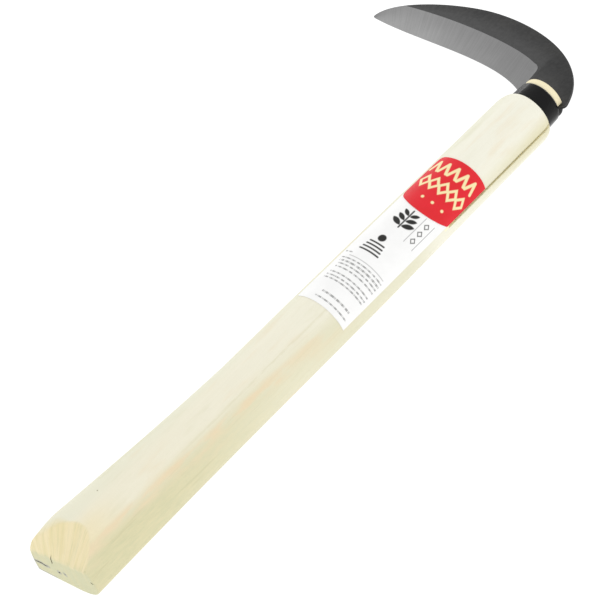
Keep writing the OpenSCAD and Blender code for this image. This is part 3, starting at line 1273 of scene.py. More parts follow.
@dataclass(frozen=True)
class WoodForm:
    """Shape of the handle's wood, which the handle and the labels share.

    Attributes:
        length: Distance from the butt at which the shoulder ends.
        grip, upper, butt: Widths and heights of the grip, toward the shoulder, and at the butt.
        thinning_start: Where it starts to thin toward the shoulder.
        shoulder_length, shoulder_radius: Length of the rounded shoulder, and radius at its end.
        flare_length, flare_power: Where the flare ends, and how suddenly it flares.
        butt_offset: How far the butt's middle lies toward the blade's side.
        blade_side_edge, back_side_edge: Heights of the butt's widest line over its underside.
        butt_roundness: Power that squares the butt's lower half, where 1 leaves it an oval.
        round_length, round_drop: Length over which the butt's top is rounded, and its drop.
        round_angle, round_spread: Angle at which the drop is deepest, and over which it fades.
    """

    length: float = 352.9
    grip: Pair = (36.5, 33.3)
    upper: Pair = (36.2, 29.8)
    butt: Pair = (51.4, 34.5)
    thinning_start: float = 170.0
    shoulder_length: float = 7.6
    shoulder_radius: float = 13.8
    flare_length: float = 130.0
    flare_power: float = 1.3
    butt_offset: float = 10.1
    blade_side_edge: float = 0.3
    back_side_edge: float = 9.2
    butt_roundness: float = 0.8
    round_length: float = 16.8
    round_drop: float = 7.5
    round_angle: float = 75.3
    round_spread: float = 26.3

    def flare(self, x: float) -> float:
        """Share of the butt's shape at a distance from the butt."""
        return (1.0 - x / self.flare_length) ** self.flare_power if x < self.flare_length else 0.0

    def half(self, x: float, axis: int) -> float:
        """Half of the wood's width or height.

        Args:
            x: Distance from the butt.
            axis: 0 for the width, 1 for the height.

        Returns:
            The half.
        """
        thinning = smooth((x - self.thinning_start) / (self.length - self.thinning_start))
        turn = clamp01((x - self.length) / self.shoulder_length + 1.0)
        grip = self.grip[axis]
        plain = grip + self.flare(x) * (self.butt[axis] - grip) + thinning * (self.upper[axis] - grip)
        return mix(plain / 2.0, self.shoulder_radius, 1.0 - math.sqrt(1.0 - turn * turn))

    def rounding(self, x: float, angle: float) -> float:
        """Drop of the skin where the top of the butt is rounded over.

        Args:
            x: Distance from the butt.
            angle: Angle round the handle's axis, in degrees.

        Returns:
            The drop.
        """
        if x >= self.round_length:
            return 0.0
        there = math.exp(-(((angle - self.round_angle + 180.0) % 360.0 - 180.0) / self.round_spread) ** 2)
        return self.round_drop * there * (1.0 - x / self.round_length) ** 2

    def point(self, x: float, angle: float, gap: float = 0.0) -> Vector:
        """Point of the wood's skin.

        Args:
            x: Distance from the butt.
            angle: Angle round the handle's axis, in degrees, 90 at the top.
            gap: Height above the skin.

        Returns:
            The point.
        """
        cosine, sine = math.cos(math.radians(angle)), math.sin(math.radians(angle))
        flare = self.flare(x)
        low = sine < 0.0
        roundness = mix(1.0, self.butt_roundness, flare) if low else 1.0
        across = math.copysign(abs(cosine) ** roundness, cosine)
        up = math.copysign(abs(sine) ** roundness, sine)
        lift = gap - self.rounding(x, angle)
        height = self.half(x, 1) + lift
        edge = self.blade_side_edge if cosine > 0.0 else self.back_side_edge
        widest = flare * (edge - self.butt[1] / 2.0)
        reach = height + widest if low else height - widest
        y = self.butt_offset * flare + (self.half(x, 0) + lift) * across
        return Vector((x, y, widest + reach * up))


@dataclass(frozen=True)
class ButtFacet:
    """Facet carved off the top of the butt, over the flat sawn end; it twists as it crosses.

    Attributes:
        foot: Height at which it leaves the flat, at the handle's axis.
        fall: How far that line falls for each millimetre toward the blade's side.
        back_run, front_run: How far it runs along the handle for each millimetre of height, on
            the back and on the blade's side.
        twist, twist_width: Where it passes from one to the other, and over what distance.
        softness: Distance from the flat within which its foot is softened.
    """

    foot: float = 1.1
    fall: float = 0.085
    back_run: float = 1.7
    front_run: float = 0.25
    twist: float = 1.7
    twist_width: float = 7.1
    softness: float = 0.5

    def depth(self, y: float, z: float) -> float:
        """Distance of the cut end from the flat butt.

        Args:
            y: Place across the handle.
            z: Height.

        Returns:
            The distance, softened where the facet meets the flat.
        """
        turn = 1.0 / (1.0 + math.exp((y - self.twist) / self.twist_width))
        facet = mix(self.front_run, self.back_run, turn) * (z - self.foot + self.fall * y)
        near = max(0.0, self.softness - abs(facet)) / self.softness
        return max(0.0, facet) + near * near * self.softness / 4.0


# Sub-assemblies


@dataclass(frozen=True)
class Crack:
    """Drying crack or pit in the sawn end.

    Attributes:
        width: Its width.
        run: Places across and up that it passes through; it tapers to its first and last one.
    """

    width: float
    run: tuple[Pair, ...]

    def outline(self) -> list[Pair]:
        """Outline of the crack.

        Returns:
            Its corners, in order.
        """
        along = Vector(self.run[-1]) - Vector(self.run[0])
        side = along.orthogonal().normalized() * (self.width / 2.0)
        inner = self.run[1:-1]
        upper = [(y + side.x, z + side.y) for y, z in inner]
        lower = [(y - side.x, z - side.y) for y, z in reversed(inner)]
        return [self.run[0], *upper, self.run[-1], *lower]


CRACKS = (
    Crack(0.7, ((35.5, -10.0), (30.8, -9.6), (28.0, -9.5), (25.6, -10.0), (22.4, -9.4))),
    Crack(0.65, ((14.0, 1.9), (15.2, -1.1), (15.9, -3.5), (17.0, -5.3))),
    Crack(1.0, ((15.3, -10.2), (14.2, -9.8), (13.4, -9.7))),
    Crack(0.7, ((9.9, -8.7), (9.3, -9.0), (8.8, -9.5))),
    Crack(0.8, ((-13.4, -3.9), (-14.2, -4.4), (-15.2, -4.9))),
)


@dataclass
class Handle:
    """Handle of one piece of wood, with its tenon, sawn slot and carved butt.

    Attributes:
        form: Shape of the wood.
        facet: Facet of its cut end.
        columns: Lines along the handle, all the way round.
        middle: Place across and up at which these lines meet on the cut end.
        cap_steps: Steps of a line from there to the crease, across it, and on to the edge.
        crease_span: Shares of the line before and after the crease that are stepped finely.
        plain_crease: Share at which a line that crosses no crease is stepped finely.
        edge_round, round_steps: Rounding of the cut end's edge, and its steps.
        front_end, front_steps: Where the steps that spread out from the edge end, and their number.
        front_power: How much they spread.
        body_steps: Steps of the rest of the flare, of the grip and of the thinning part.
        shoulder_steps: Steps of the shoulder.
        cut_reach: How far the look of cut wood reaches along the handle, on the blade's side.
        cut_across: Span across the handle over which it grows to that from the rounding.
        sharp_angle: Turn between faces from which an edge is shaded sharp.
        tenon_foot, tenon_rim: Radii of the tenon at the shoulder and at the ferrule's rim.
        tenon_swell, swell_length: How far it swells past that rim, and over what length.
        tenon_chamfer, tenon_band: Chamfer of its end, and its last straight part with it.
        ferrule_length, tenon_length: Length of the tenon under the ferrule, and in all.
        slot_low, slot_high: Heights of the slot's walls.
        slot_depth: Distance from the shoulder at which the slot starts.
        slot_floor, ramp_end: Where its floor lies after the saw's curve, and at the tenon's end.
        slot_steps: Steps along its floor.
        slot_margins: How far its cutter passes the wood's side and the tenon's end.
        saw_radius: Radius of the saw.
        crack_depth, crack_margin: How far the cracks' cutter reaches into the wood, and out of it.
    """

    form: WoodForm
    facet: ButtFacet
    columns: int = 144
    middle: Pair = (9.0, -7.0)
    cap_steps: tuple[int, int, int] = (20, 8, 6)
    crease_span: Pair = (0.05, 0.04)
    plain_crease: float = 0.94
    edge_round: float = 0.9
    round_steps: int = 5
    front_end: float = 60.0
    front_steps: int = 34
    front_power: float = 1.2
    body_steps: tuple[int, int, int] = (24, 10, 60)
    shoulder_steps: int = 14
    cut_reach: float = 6.0
    cut_across: Span = (4.0, 14.0)
    sharp_angle: float = 38.0
    tenon_foot: float = 12.55
    tenon_rim: float = 12.05
    tenon_swell: float = 0.4
    swell_length: float = 0.65
    tenon_chamfer: float = 0.5
    tenon_band: float = 2.0
    ferrule_length: float = 11.0
    tenon_length: float = 15.1
    slot_low: float = -1.9
    slot_high: float = -0.3
    slot_depth: float = 88.0
    slot_floor: float = 2.0
    ramp_end: float = 7.6
    slot_steps: int = 40
    slot_margins: Pair = (4.0, 3.0)
    saw_radius: float = 70.0
    crack_depth: float = 2.2
    crack_margin: float = 1.0

    def build(self, wood: bpy.types.Material, dark: bpy.types.Material) -> bpy.types.Object:
        """Builds the handle and its dress.

        Args:
            wood: The wood.
            dark: Dirt and painted shade inside the cracks, on their faces.

        Returns:
            The piece.
        """
        piece = to_object("wooden_handle", self.body(), [wood, dark])
        # Faces of the cracks take material 1: dirt and painted shade
        for name, cutter, number in (("slot_saw", self.slot(), 0), ("drying_cracks", self.cracks(), 1)):
            for face in cutter.faces:
                face.material_index = number
            join(piece, to_object(name, cutter, [wood, dark]), Joining.CUT)
        sawn = piece.data.attributes.new("sawn", "FLOAT", "POINT")
        for vertex, value in zip(piece.data.vertices, sawn.data):
            value.value = self.sawn_share(vertex.co)
        EdgeMarks().apply(piece)
        finish_piece(piece, ["handle"], Finishes.WOOD, self.sharp_angle)
        return piece

    def sawn_share(self, point: Vector) -> float:
        """How far a point lies on wood that is cut across the grain.

        Args:
            point: The point.

        Returns:
            The share, 0 to 1.
        """
        end = self.form.length + self.tenon_length
        inward = min(abs(point.x - self.facet.depth(point.y, point.z)), abs(end - point.x))
        start, stop = self.cut_across
        reach = mix(self.edge_round, self.cut_reach, smooth((point.y - start) / (stop - start)))
        return 1.0 - clamp01(inward / reach)

    def seam(self, angle: float) -> float:
        """Distance from the butt at which the wood's skin meets the cut end.

        Args:
            angle: Angle round the handle's axis, in degrees.

        Returns:
            The distance.
        """
        def over(x: float) -> float:
            """How far the skin lies past the cut."""
            point = self.form.point(x, angle)
            return x - self.facet.depth(point.y, point.z)

        return halve(over, 0.0, 40.0) if over(0.0) < 0.0 else 0.0

    def end_point(self, seam: Vector, share: float) -> Vector:
        """Point of the cut end.

        Args:
            seam: Point at which the skin meets the cut end.
            share: Share of the way from the cut end's middle to the seam.

        Returns:
            The point.
        """
        y = mix(self.middle[0], seam.y, share)
        z = mix(self.middle[1], seam.z, share)
        return Vector((self.facet.depth(y, z), y, z))

    def crease(self, seam: Vector) -> float:
        """Finds where a line of the cut end crosses onto the facet.

        Args:
            seam: Point at which the skin meets the cut end.

        Returns:
            Share of the way from the cut end's middle to the seam.
        """
        def over(share: float) -> float:
            """How far the point stands off the flat, past a tenth of a millimetre."""
            return self.end_point(seam, share).x - 0.1

        return halve(over, 0.0, 1.0) if over(1.0) > 0.0 else self.plain_crease

    def stations(self) -> list[float]:
        """Distances from the butt of the rings from the front's end to the shoulder's end.

        Returns:
            The distances.
        """
        form = self.form
        marks = (self.front_end, form.flare_length, form.thinning_start, form.length - form.shoulder_length)
        along = spaced(*zip(marks, marks[1:], self.body_steps))
        shoulder = [
            form.length - form.shoulder_length * (1.0 - math.sin(math.pi / 2.0 * step / self.shoulder_steps))
            for step in range(1, self.shoulder_steps + 1)
        ]
        return along[1:] + shoulder

    def tenon(self) -> list[Pair]:
        """Outline of the tenon.

        Returns:
            Distances from the shoulder and radii, up to the middle of its end.
        """
        swollen = self.tenon_rim + self.tenon_swell
        end, chamfer = self.tenon_length, self.tenon_chamfer
        return [
            (0.0, self.tenon_foot),
            (self.ferrule_length, self.tenon_rim),
            (self.ferrule_length + self.swell_length, swollen),
            (end - self.tenon_band, swollen),
            (end - chamfer, swollen),
            (end - chamfer / 3.0, swollen - chamfer / 3.0),
            (end, swollen - chamfer),
            *((end, swollen * share) for share in (0.6, 0.3, 0.0)),
        ]

    def line(self, angle: float) -> list[Vector]:
        """One line along the wood, from the middle of the cut end to the middle of the tenon's end.

        Args:
            angle: Angle round the handle's axis, in degrees.

        Returns:
            The line's points.
        """
        form = self.form
        start = self.seam(angle)
        seam = form.point(start, angle)
        last = 1.0 - self.edge_round / math.hypot(seam.y - self.middle[0], seam.z - self.middle[1])
        before, after = self.crease_span
        crease = min(self.crease(seam), last - after)
        marks = (0.0, crease - before, crease + after, last)
        line = [self.end_point(seam, share) for share in spaced(*zip(marks, marks[1:], self.cap_steps))]
        inner, outer = line[-1], form.point(start + self.edge_round, angle)
        shares = [step / self.round_steps for step in range(1, self.round_steps + 1)]
        line += [inner.lerp(seam, share).lerp(seam.lerp(outer, share), share) for share in shares]
        shares = [(step / self.front_steps) ** self.front_power for step in range(1, self.front_steps + 1)]
        line += [form.point(mix(start + self.edge_round, self.front_end, share), angle) for share in shares]
        line += [form.point(x, angle) for x in self.stations()]
        turn = math.radians(angle)
        line += [
            Vector((form.length + x, radius * math.cos(turn), radius * math.sin(turn)))
            for x, radius in self.tenon()
        ]
        return line

    def body(self) -> bmesh.types.BMesh:
        """Wood before it is sawn.

        Returns:
            The mesh, in millimetres.
        """
        lines = [self.line(360.0 * column / self.columns) for column in range(self.columns)]
        mesh = wrapped_sheet(
            self.columns, len(lines[0]) - 1, lambda column, row: lines[column % self.columns][row]
        )
        close_holes(mesh)
        return mesh

    def slot_edge(self, x: float) -> float:
        """Floor of the sawn slot: the saw's curve, then a ramp.

        Args:
            x: Distance from the shoulder.

        Returns:
            Place of the floor across the handle.
        """
        mouth = self.form.half(self.form.length - self.slot_depth, 0)
        centre = -self.slot_depth + math.sqrt(
            self.saw_radius**2 - (self.saw_radius + self.slot_floor - mouth) ** 2
        )
        if x < centre:
            depth = math.sqrt(max(0.0, self.saw_radius**2 - (x - centre) ** 2))
            return -self.slot_floor - self.saw_radius + depth
        return mix(-self.slot_floor, self.ramp_end, (x - centre) / (self.tenon_length - centre))

    def slot(self) -> bmesh.types.BMesh:
        """Solid that the saw takes out for the tang.

        Returns:
            The mesh, in millimetres.
        """
        past = self.form.half(self.form.length - self.slot_depth, 0) + self.slot_margins[0]
        end = self.tenon_length + self.slot_margins[1]
        floor = spaced((-self.slot_depth, self.tenon_length, self.slot_steps))
        outline = [(-self.slot_depth, -past), *((x, self.slot_edge(x)) for x in floor)]
        outline += [(end, outline[-1][1]), (end, -past)]
        return prism([(self.form.length + x, y) for x, y in outline], self.slot_low, self.slot_high)

    def cracks(self) -> bmesh.types.BMesh:
        """Wedges for the two drying cracks and the small pits in the sawn end.

        Returns:
            The mesh, in millimetres.
        """
        wedges = bmesh.new()
        for crack in CRACKS:
            wedge = prism(crack.outline(), -self.crack_margin, self.crack_depth)
            data = bpy.data.meshes.new("crack")
            wedge.to_mesh(data)
            wedge.free()
            wedges.from_mesh(data)
            bpy.data.meshes.remove(data)
        # The wedges are drawn in plan, then stood up across the sawn end
        stand = Matrix(((0, 0, 1, 0), (1, 0, 0, 0), (0, 1, 0, 0), (0, 0, 0, 1)))
        bmesh.ops.transform(wedges, verts=wedges.verts, matrix=stand)
        bmesh.ops.recalc_face_normals(wedges, faces=wedges.faces)
        return wedges


@dataclass
class Ferrule:
    """Pressed steel ring that is driven over the tenon.

    Attributes:
        start, length: Distance of its foot from the butt, and its length.
        foot_radius, taper: Outer radius at its foot, and how much it lessens toward its rim.
        wall: Thickness of its wall.
        rim_round, rim_steps: Rounding of the rim's outer edge, and its steps.
        rim_inset: How far the inside of the rim lies back.
        foot_round, foot_share: Rounding of the foot's outer edge, and its share halfway round.
        side_steps, sides: Steps along its side, and all the way round.
        worn: Marks of its edges.
    """

    start: float = 352.9
    length: float = 11.0
    foot_radius: float = 13.5
    taper: float = 0.5
    wall: float = 0.9
    rim_round: float = 0.6
    rim_steps: int = 8
    rim_inset: float = 0.15
    foot_round: float = 0.2
    foot_share: float = 0.3
    side_steps: int = 10
    sides: int = 160
    worn: EdgeMarks = EdgeMarks(angle=9.0, reach=0.7)

    def build(self, material: bpy.types.Material) -> bpy.types.Object:
        """Builds the ferrule and its dress.

        Args:
            material: The enamel.

        Returns:
            The piece.
        """
        mesh = bmesh.new()
        corners = [mesh.verts.new((self.start + x, radius, 0.0)) for x, radius in self.profile()]
        ring = [mesh.edges.new(pair) for pair in zip(corners, corners[1:] + corners[:1])]
        bmesh.ops.spin(
            mesh,
            geom=corners + ring,
            cent=(0.0, 0.0, 0.0),
            axis=(1.0, 0.0, 0.0),
            angle=math.tau,
            steps=self.sides,
            use_merge=True,
        )
        bmesh.ops.remove_doubles(mesh, verts=mesh.verts, dist=WELD)
        bmesh.ops.recalc_face_normals(mesh, faces=mesh.faces)
        for face in mesh.faces:
            face.smooth = True
        piece = to_object("ferrule_ring", mesh, [material])
        self.worn.apply(piece)
        finish_piece(piece, ["ferrule"], Finishes.ENAMEL)
        return piece

    def profile(self) -> list[Pair]:
        """Closed section of the ring.

        Returns:
            Distances from its foot and from the axis.
        """
        rim = self.foot_radius - self.taper
        turns = [math.pi / 2.0 * step / self.rim_steps for step in range(self.rim_steps + 1)]
        outer = [
            (
                self.length - self.rim_round * (1.0 - math.sin(turn)),
                rim - self.rim_round * (1.0 - math.cos(turn)),
            )
            for turn in turns
        ]
        along = [
            (mix(self.foot_round, outer[0][0], share), mix(self.foot_radius, outer[0][1], share))
            for share in spaced((0.0, 1.0, self.side_steps))[:-1]
        ]
        eased = self.foot_round * self.foot_share
        return [
            (0.0, self.foot_radius - self.wall),
            (0.0, self.foot_radius - self.foot_round),
            (eased, self.foot_radius - eased),
            *along,
            *outer,
            (self.length - self.rim_inset, rim - self.wall),
        ]


@dataclass
class Blade:
    """Forged blade with its ground bevel and hooked tang; its plan starts at the shoulder.

    Attributes:
        form: Shape of the wood, for the shoulder's place.
        bottom, top: Heights of the underside, and of the flat at the heel.
        distal_taper: How much the blade thins toward its tip.
        edge_land: Height of the cutting edge's land.
        spine_round, spine_clear: Rounding of the spine, and how many times it the bevel keeps off.
        neck_round: Rounding of the neck's inside.
        heel_step: How far the heel's first section is moved toward the tip.
        neck_corner: Radius of the neck's corner beside the ferrule.
        heel, tip: Start of the cutting edge, and end of the blade.
        belly: Point of the spine that lies farthest out.
        root, neck_front: Starts of the neck's back, before its corner is rounded, and inside.
        bevel_foot: Start of the line at which the bevel meets the flat.
        back_pulls, spine_pulls: Pulls of the curves from root to belly, and from there to the tip.
        edge_pulls, inside_pulls, bevel_pulls: Pulls of the cutting edge, the neck's inside, and
            the line at which the bevel meets the flat.
        bevel_runout: Share of the curve from the belly to the tip at which that line ends.
        corner, corner_stretch: Radius of the bevel's corner at the heel, and how many times as
            long it is across the blade.
        corner_share: Share of the blade over which that corner turns.
        first_share: Share of the blade over which the heel's step runs out.
        tip_width: Length that is left off at the tip.
        neck_steps, neck_power: Steps along the neck, and how much they crowd toward its start.
        spans: Steps of a section: its land, bevel, flat, upper rounding of the spine, side,
            lower rounding and underside.
        tang_depth, tang_back: Distances of its end from the shoulder, and of its back from the axis.
        hook_width, hook_reach, hook_foot: Width of its hook, and places across of the hook's
            end and foot.
        tang_inside: Its side between the hook and the neck.
        tang_end: Heights of its underside and top at the hook.
        tang_root, tang_ease: Where it has passed into the neck, and how far inside its flats.
        worn: Marks of its edges.
    """

    form: WoodForm
    bottom: float = -1.8
    top: float = -0.4
    distal_taper: float = 0.5
    edge_land: float = 0.15
    spine_round: float = 0.3
    spine_clear: float = 1.5
    neck_round: float = 0.2
    heel_step: float = 0.25
    neck_corner: float = 3.5
    heel: Pair = (15.4, 19.0)
    tip: Pair = (47.4, 161.7)
    belly: Pair = (71.3, 93.4)
    root: Pair = (11.25, -17.0)
    neck_front: Pair = (15.35, 7.5)
    bevel_foot: Pair = (37.6, 25.1)
    back_pulls: Pulls = ((0.721, 0.089), (1.0, 0.699))
    spine_pulls: Pulls = ((0.0, 0.456), (0.372, 0.999))
    edge_pulls: Pulls = ((0.665, 0.232), (0.652, 0.683))
    inside_pulls: Pulls = ((1.0, 0.2), (1.0, 0.65))
    bevel_pulls: Pulls = ((0.443, 0.146), (0.935, 0.628))
    bevel_runout: float = 0.63
    corner: float = 4.4
    corner_share: float = 0.03
    corner_stretch: float = 1.4
    first_share: float = 0.0086
    tip_width: float = 0.7
    neck_steps: int = 30
    neck_power: float = 1.8
    spans: tuple[int, ...] = (1, 10, 14, 5, 2, 5, 16)
    tang_depth: float = 68.0
    tang_back: float = 11.0
    hook_width: float = 4.5
    hook_reach: float = 4.0
    hook_foot: float = -5.5
    tang_inside: tuple[Pair, ...] = ((-50.0, -2.9), (-36.0, -2.3), (15.1, 7.4))
    tang_end: Pair = (-1.7, -0.5)
    tang_root: float = 16.85
    tang_ease: float = 0.05
    worn: EdgeMarks = EdgeMarks(angle=20.0, reach=0.8)

    def __post_init__(self) -> None:
        """Draws the plan's curves."""
        self.lower = PulledCurve(self.root, self.belly, self.back_pulls)
        self.upper = PulledCurve(self.belly, self.tip, self.spine_pulls)
        self.edge = PulledCurve(self.heel, self.tip, self.edge_pulls)
        self.inside = PulledCurve(self.heel, self.neck_front, self.inside_pulls)
        end = self.upper.at(self.bevel_runout)
        self.bevel = PulledCurve(self.bevel_foot, (end.x, end.y), self.bevel_pulls)
        self.level = halve(lambda share: self.lower.at(share).y - self.heel[1], 0.0, 1.0)

    def build(self, scale: bpy.types.Material, ground: bpy.types.Material) -> bpy.types.Object:
        """Builds the blade and its dress.

        Args:
            scale: Finish of the flats, the spine and the tang.
            ground: Finish of the bevel.

        Returns:
            The piece.
        """
        piece = to_object("crescent_blade", self.body(), [scale, ground])
        join(piece, to_object("tang", self.tang()), Joining.FUSE)
        self.worn.apply(piece)
        finish_piece(piece, ["blade"], Finishes.STEEL)
        return piece

    def spine(self, share: float) -> Vector:
        """Point of the spine.

        Args:
            share: Share of the way from level with the heel to the tip.

        Returns:
            The point, in plan.
        """
        if share < 0.5:
            return self.lower.at(mix(self.level, 1.0, 2.0 * share))
        return self.upper.at(2.0 * share - 1.0)

    def outside(self, share: float) -> Vector:
        """Point of the neck's back.

        Args:
            share: Share of the way from level with the heel to the rounded corner by the ferrule.

        Returns:
            The point, in plan.
        """
        point = self.lower.at(self.level * (1.0 - share))
        turn = clamp01(1.0 - (point.x - self.root[0]) / self.neck_corner)
        return point + Vector((0.0, self.neck_corner * (1.0 - math.sqrt(1.0 - turn * turn))))

    def ridge(self, share: float) -> Vector:
        """Point at which the bevel meets the flat of the blade.

        Args:
            share: Share of the way from the heel to the tip.

        Returns:
            The point, in plan.
        """
        end = (1.0 + self.bevel_runout) / 2.0
        if share >= end:
            return self.spine(share)
        point = self.bevel.at(clamp01(share / end))
        turn = clamp01(1.0 - share / self.corner_share)
        inward = self.corner * self.corner_stretch * (1.0 - math.sqrt(1.0 - turn * turn))
        return Vector((point.x - inward, point.y - self.corner * turn))

    def section(
        self, start: Vector, ridge: Vector, end: Vector, top: float, land: float
    ) -> list[Vector]:
        """Closed section of the blade.

        Args:
            start: Cutting edge, in plan.
            ridge: Where the bevel meets the flat, in plan.
            end: Spine, in plan.
            top: Height of the flat.
            land: Height of the cutting edge's land.

        Returns:
            The section's points, starting and ending under the cutting edge.
        """
        way = end - start
        width = way.length
        along = way / width
        soft = min(self.spine_round, width / 4.0, (top - self.bottom) / 3.0)
        inner = end - along * soft
        ahead = (ridge - start).dot(along)
        held = min(ahead, width - self.spine_clear * soft)
        crest = start + along * held if held < ahead else ridge

        def raised(point: Vector, z: float) -> Vector:
            """Point in plan at a height."""
            return Vector((self.form.length + point.x, point.y, z))

        corners = [
            (raised(start, self.bottom), None),
            (raised(start, self.bottom + land), None),
            (raised(crest, top), None),
            (raised(inner, top), raised(end, top)),
            (raised(end, top - soft), None),
            (raised(end, self.bottom + soft), raised(end, self.bottom)),
            (raised(inner, self.bottom), None),
            (raised(start, self.bottom), None),
        ]
        line = [corners[0][0]]
        for (near, pull), (far, _), steps in zip(corners, corners[1:], self.spans):
            turn = pull or near.lerp(far, 0.5)
            line += [
                near.lerp(turn, step / steps).lerp(turn.lerp(far, step / steps), step / steps)
                for step in range(1, steps + 1)
            ]
        return line

    def neck(self) -> list[list[Vector]]:
        """Sections of the neck.

        Returns:
            The sections, from beside the ferrule to level with the heel.
        """
        rows = []
        land = self.top - self.bottom - self.neck_round
        for step in range(self.neck_steps, -1, -1):
            part = 1.0 - (1.0 - step / self.neck_steps) ** self.neck_power
            start, end = self.inside.at(part), self.outside(part)
            ridge = start + (end - start).normalized() * self.neck_round
            rows.append(self.section(start, ridge, end, self.top, land))
        return rows

    def crescent(self) -> list[list[Vector]]:
        """Sections of the crescent, which stand closest together at its heel and at its tip.

        Returns:
            The sections, from the heel to the tip.
        """
        rows = []
        shares = spaced(
            (0.0, self.first_share, 5),
            (self.first_share, 0.04, 14),
            (0.04, 0.3, 40),
            (0.3, 0.85, 70),
            (0.85, 1.0, 34),
        )
        for share in shares:
            taken = share * (1.0 - self.tip_width / self.tip[1])
            row = self.section(
                self.edge.at(taken),
                self.ridge(taken),
                self.spine(taken),
                self.top - self.distal_taper * taken,
                self.edge_land,
            )
            ahead = self.heel_step * max(0.0, 1.0 - taken / self.first_share)
            rows.append([point + Vector((0.0, ahead, 0.0)) for point in row])
        return rows

    def body(self) -> bmesh.types.BMesh:
        """Blade from its neck to its tip, without the tang.

        Returns:
            The mesh, in millimetres.
        """
        neck = self.neck()
        rows = neck + self.crescent()
        first = len(neck) - 1
        ridge_line = self.spans[0] + self.spans[1]

        def tint(column: int, row: int) -> int:
            """Ground finish on the bevel, scale elsewhere."""
            return int(row >= first and column < ridge_line)

        mesh = wrapped_sheet(
            sum(self.spans), len(rows) - 1, lambda column, row: rows[row][column], tint, (ridge_line,)
        )
        close_holes(mesh)
        return mesh

    def tang(self) -> bmesh.types.BMesh:
        """Tang with its hooked end, thinner toward the hook.

        Returns:
            The mesh, in millimetres.
        """
        depth, back = self.tang_depth, self.tang_back
        hook = -depth + self.hook_width
        outline = [
            (self.tang_root, -back),
            (self.root[0], -back),
            (-depth, -back),
            (-depth, self.hook_reach),
            (hook, self.hook_reach),
            (hook, self.hook_foot),
            *self.tang_inside,
            (self.tang_root, self.tang_inside[-1][1]),
        ]
        mesh = prism([(self.form.length + x, y) for x, y in outline], self.bottom, self.top)
        for vertex in mesh.verts:
            share = clamp01((vertex.co.x - self.form.length + depth) / (depth + self.root[0]))
            upper = vertex.co.z > (self.top + self.bottom) / 2.0
            near = self.tang_end[1] if upper else self.tang_end[0]
            far = self.top - self.tang_ease if upper else self.bottom + self.tang_ease
            vertex.co.z = mix(near, far, share)
        bmesh.ops.recalc_face_normals(mesh, faces=mesh.faces)
        return mesh


# Prints


@dataclass(frozen=True)
class Stroke:
    """Straight stroke of a print, with round ends."""

    start: Pair
    end: Pair
    width: float

    def gap(self, point: Vector) -> float:
        """Distance from the stroke's outline.

        Args:
            point: The point.

        Returns:
            The distance, below zero inside.
        """
        start, end = Vector(self.start), Vector(self.end)
        way = end - start
        share = clamp01((point - start).dot(way) / way.length_squared)
        return (point - start - way * share).length - self.width / 2.0


@dataclass(frozen=True)
class Leaf:
    """Pointed leaf of a print: where two equal discs overlap."""

    start: Pair
    end: Pair
    fullness: float = 0.42

    def gap(self, point: Vector) -> float:
        """Distance from the leaf's outline.

        Args:
            point: The point.

        Returns:
            The distance, below zero inside.
        """
        start, end = Vector(self.start), Vector(self.end)
        way = end - start
        half, rise = way.length / 2.0, way.length * self.fullness / 2.0
        radius = (half * half + rise * rise) / (2.0 * rise)
        side = Vector((-way.y, way.x)).normalized() * (radius - rise)
        middle = (start + end) / 2.0
        return max((point - middle - side).length, (point - middle + side).length) - radius


@dataclass(frozen=True)
class Disc:
    """Disc of a print."""

    centre: Pair
    radius: float

    def gap(self, point: Vector) -> float:
        """Distance of a point from the disc's outline, below zero inside."""
        return (point - Vector(self.centre)).length - self.radius


@dataclass(frozen=True)
class Diamond:
    """Frame of a print in the shape of a diamond; half is its size to the middle of its line."""

    centre: Pair
    half: Pair
    width: float

    def gap(self, point: Vector) -> float:
        """Distance from the outline of the diamond's line.

        Args:
            point: The point.

        Returns:
            The distance, below zero inside.
        """
        away = point - Vector(self.centre)
        slope = abs(away.x) / self.half[0] + abs(away.y) / self.half[1] - 1.0
        reach = slope * self.half[0] * self.half[1] / math.hypot(*self.half)
        return abs(reach) - self.width / 2.0


@dataclass(frozen=True)
class DottedRule:
    """Thin dotted rule of a print, which runs round the handle.

    Attributes:
        x: Its distance from the butt.
        start, end, width: Where it starts and ends, and its width.
        beats: Waves that break it up, in radians for each millimetre.
        level: Height of their product above which a dot is printed.
        dot, rest: Ink of a dot, and between the dots.
    """

    x: float
    start: float
    end: float
    width: float = 0.95
    beats: Pair = (5.1, 3.3)
    level: float = -0.12
    dot: float = 0.62
    rest: float = 0.1

    def ink(self, x: float, arc: float) -> float:
        """How much ink the rule lays at a place.

        Args:
            x: Distance from the butt.
            arc: Distance round the handle from the slot.

        Returns:
            Share of ink, 0 to 1.
        """
        if abs(x - self.x) >= self.width / 2.0 or not self.start < arc < self.end:
            return 0.0
        beat = math.sin(arc * self.beats[0] + self.x) * math.sin(arc * self.beats[1] + 2.0 * self.x)
        return self.dot if beat > self.level else self.rest


Mark = Stroke | Leaf | Disc | Diamond


@dataclass(frozen=True)
class Artwork:
    """A print. Places are millimetres from the butt, and round from the slot.

    Attributes:
        marks: Its strokes, leaves, discs and diamonds.
        rules: Its dotted rules.
    """

    marks: tuple[Mark, ...]
    rules: tuple[DottedRule, ...] = ()

    def ink(self, x: float, arc: float, soft: float) -> float:
        """How much ink lies at a place.

        Args:
            x: Distance from the butt.
            arc: Distance round the handle from the slot.
            soft: Distance over which an outline fades.

        Returns:
            Share of ink, 0 to 1.
        """
        point = Vector((x, arc))
        gap = min(mark.gap(point) for mark in self.marks)
        return max(1.0 - clamp01(gap / soft + 0.5), *(rule.ink(x, arc) for rule in self.rules), 0.0)


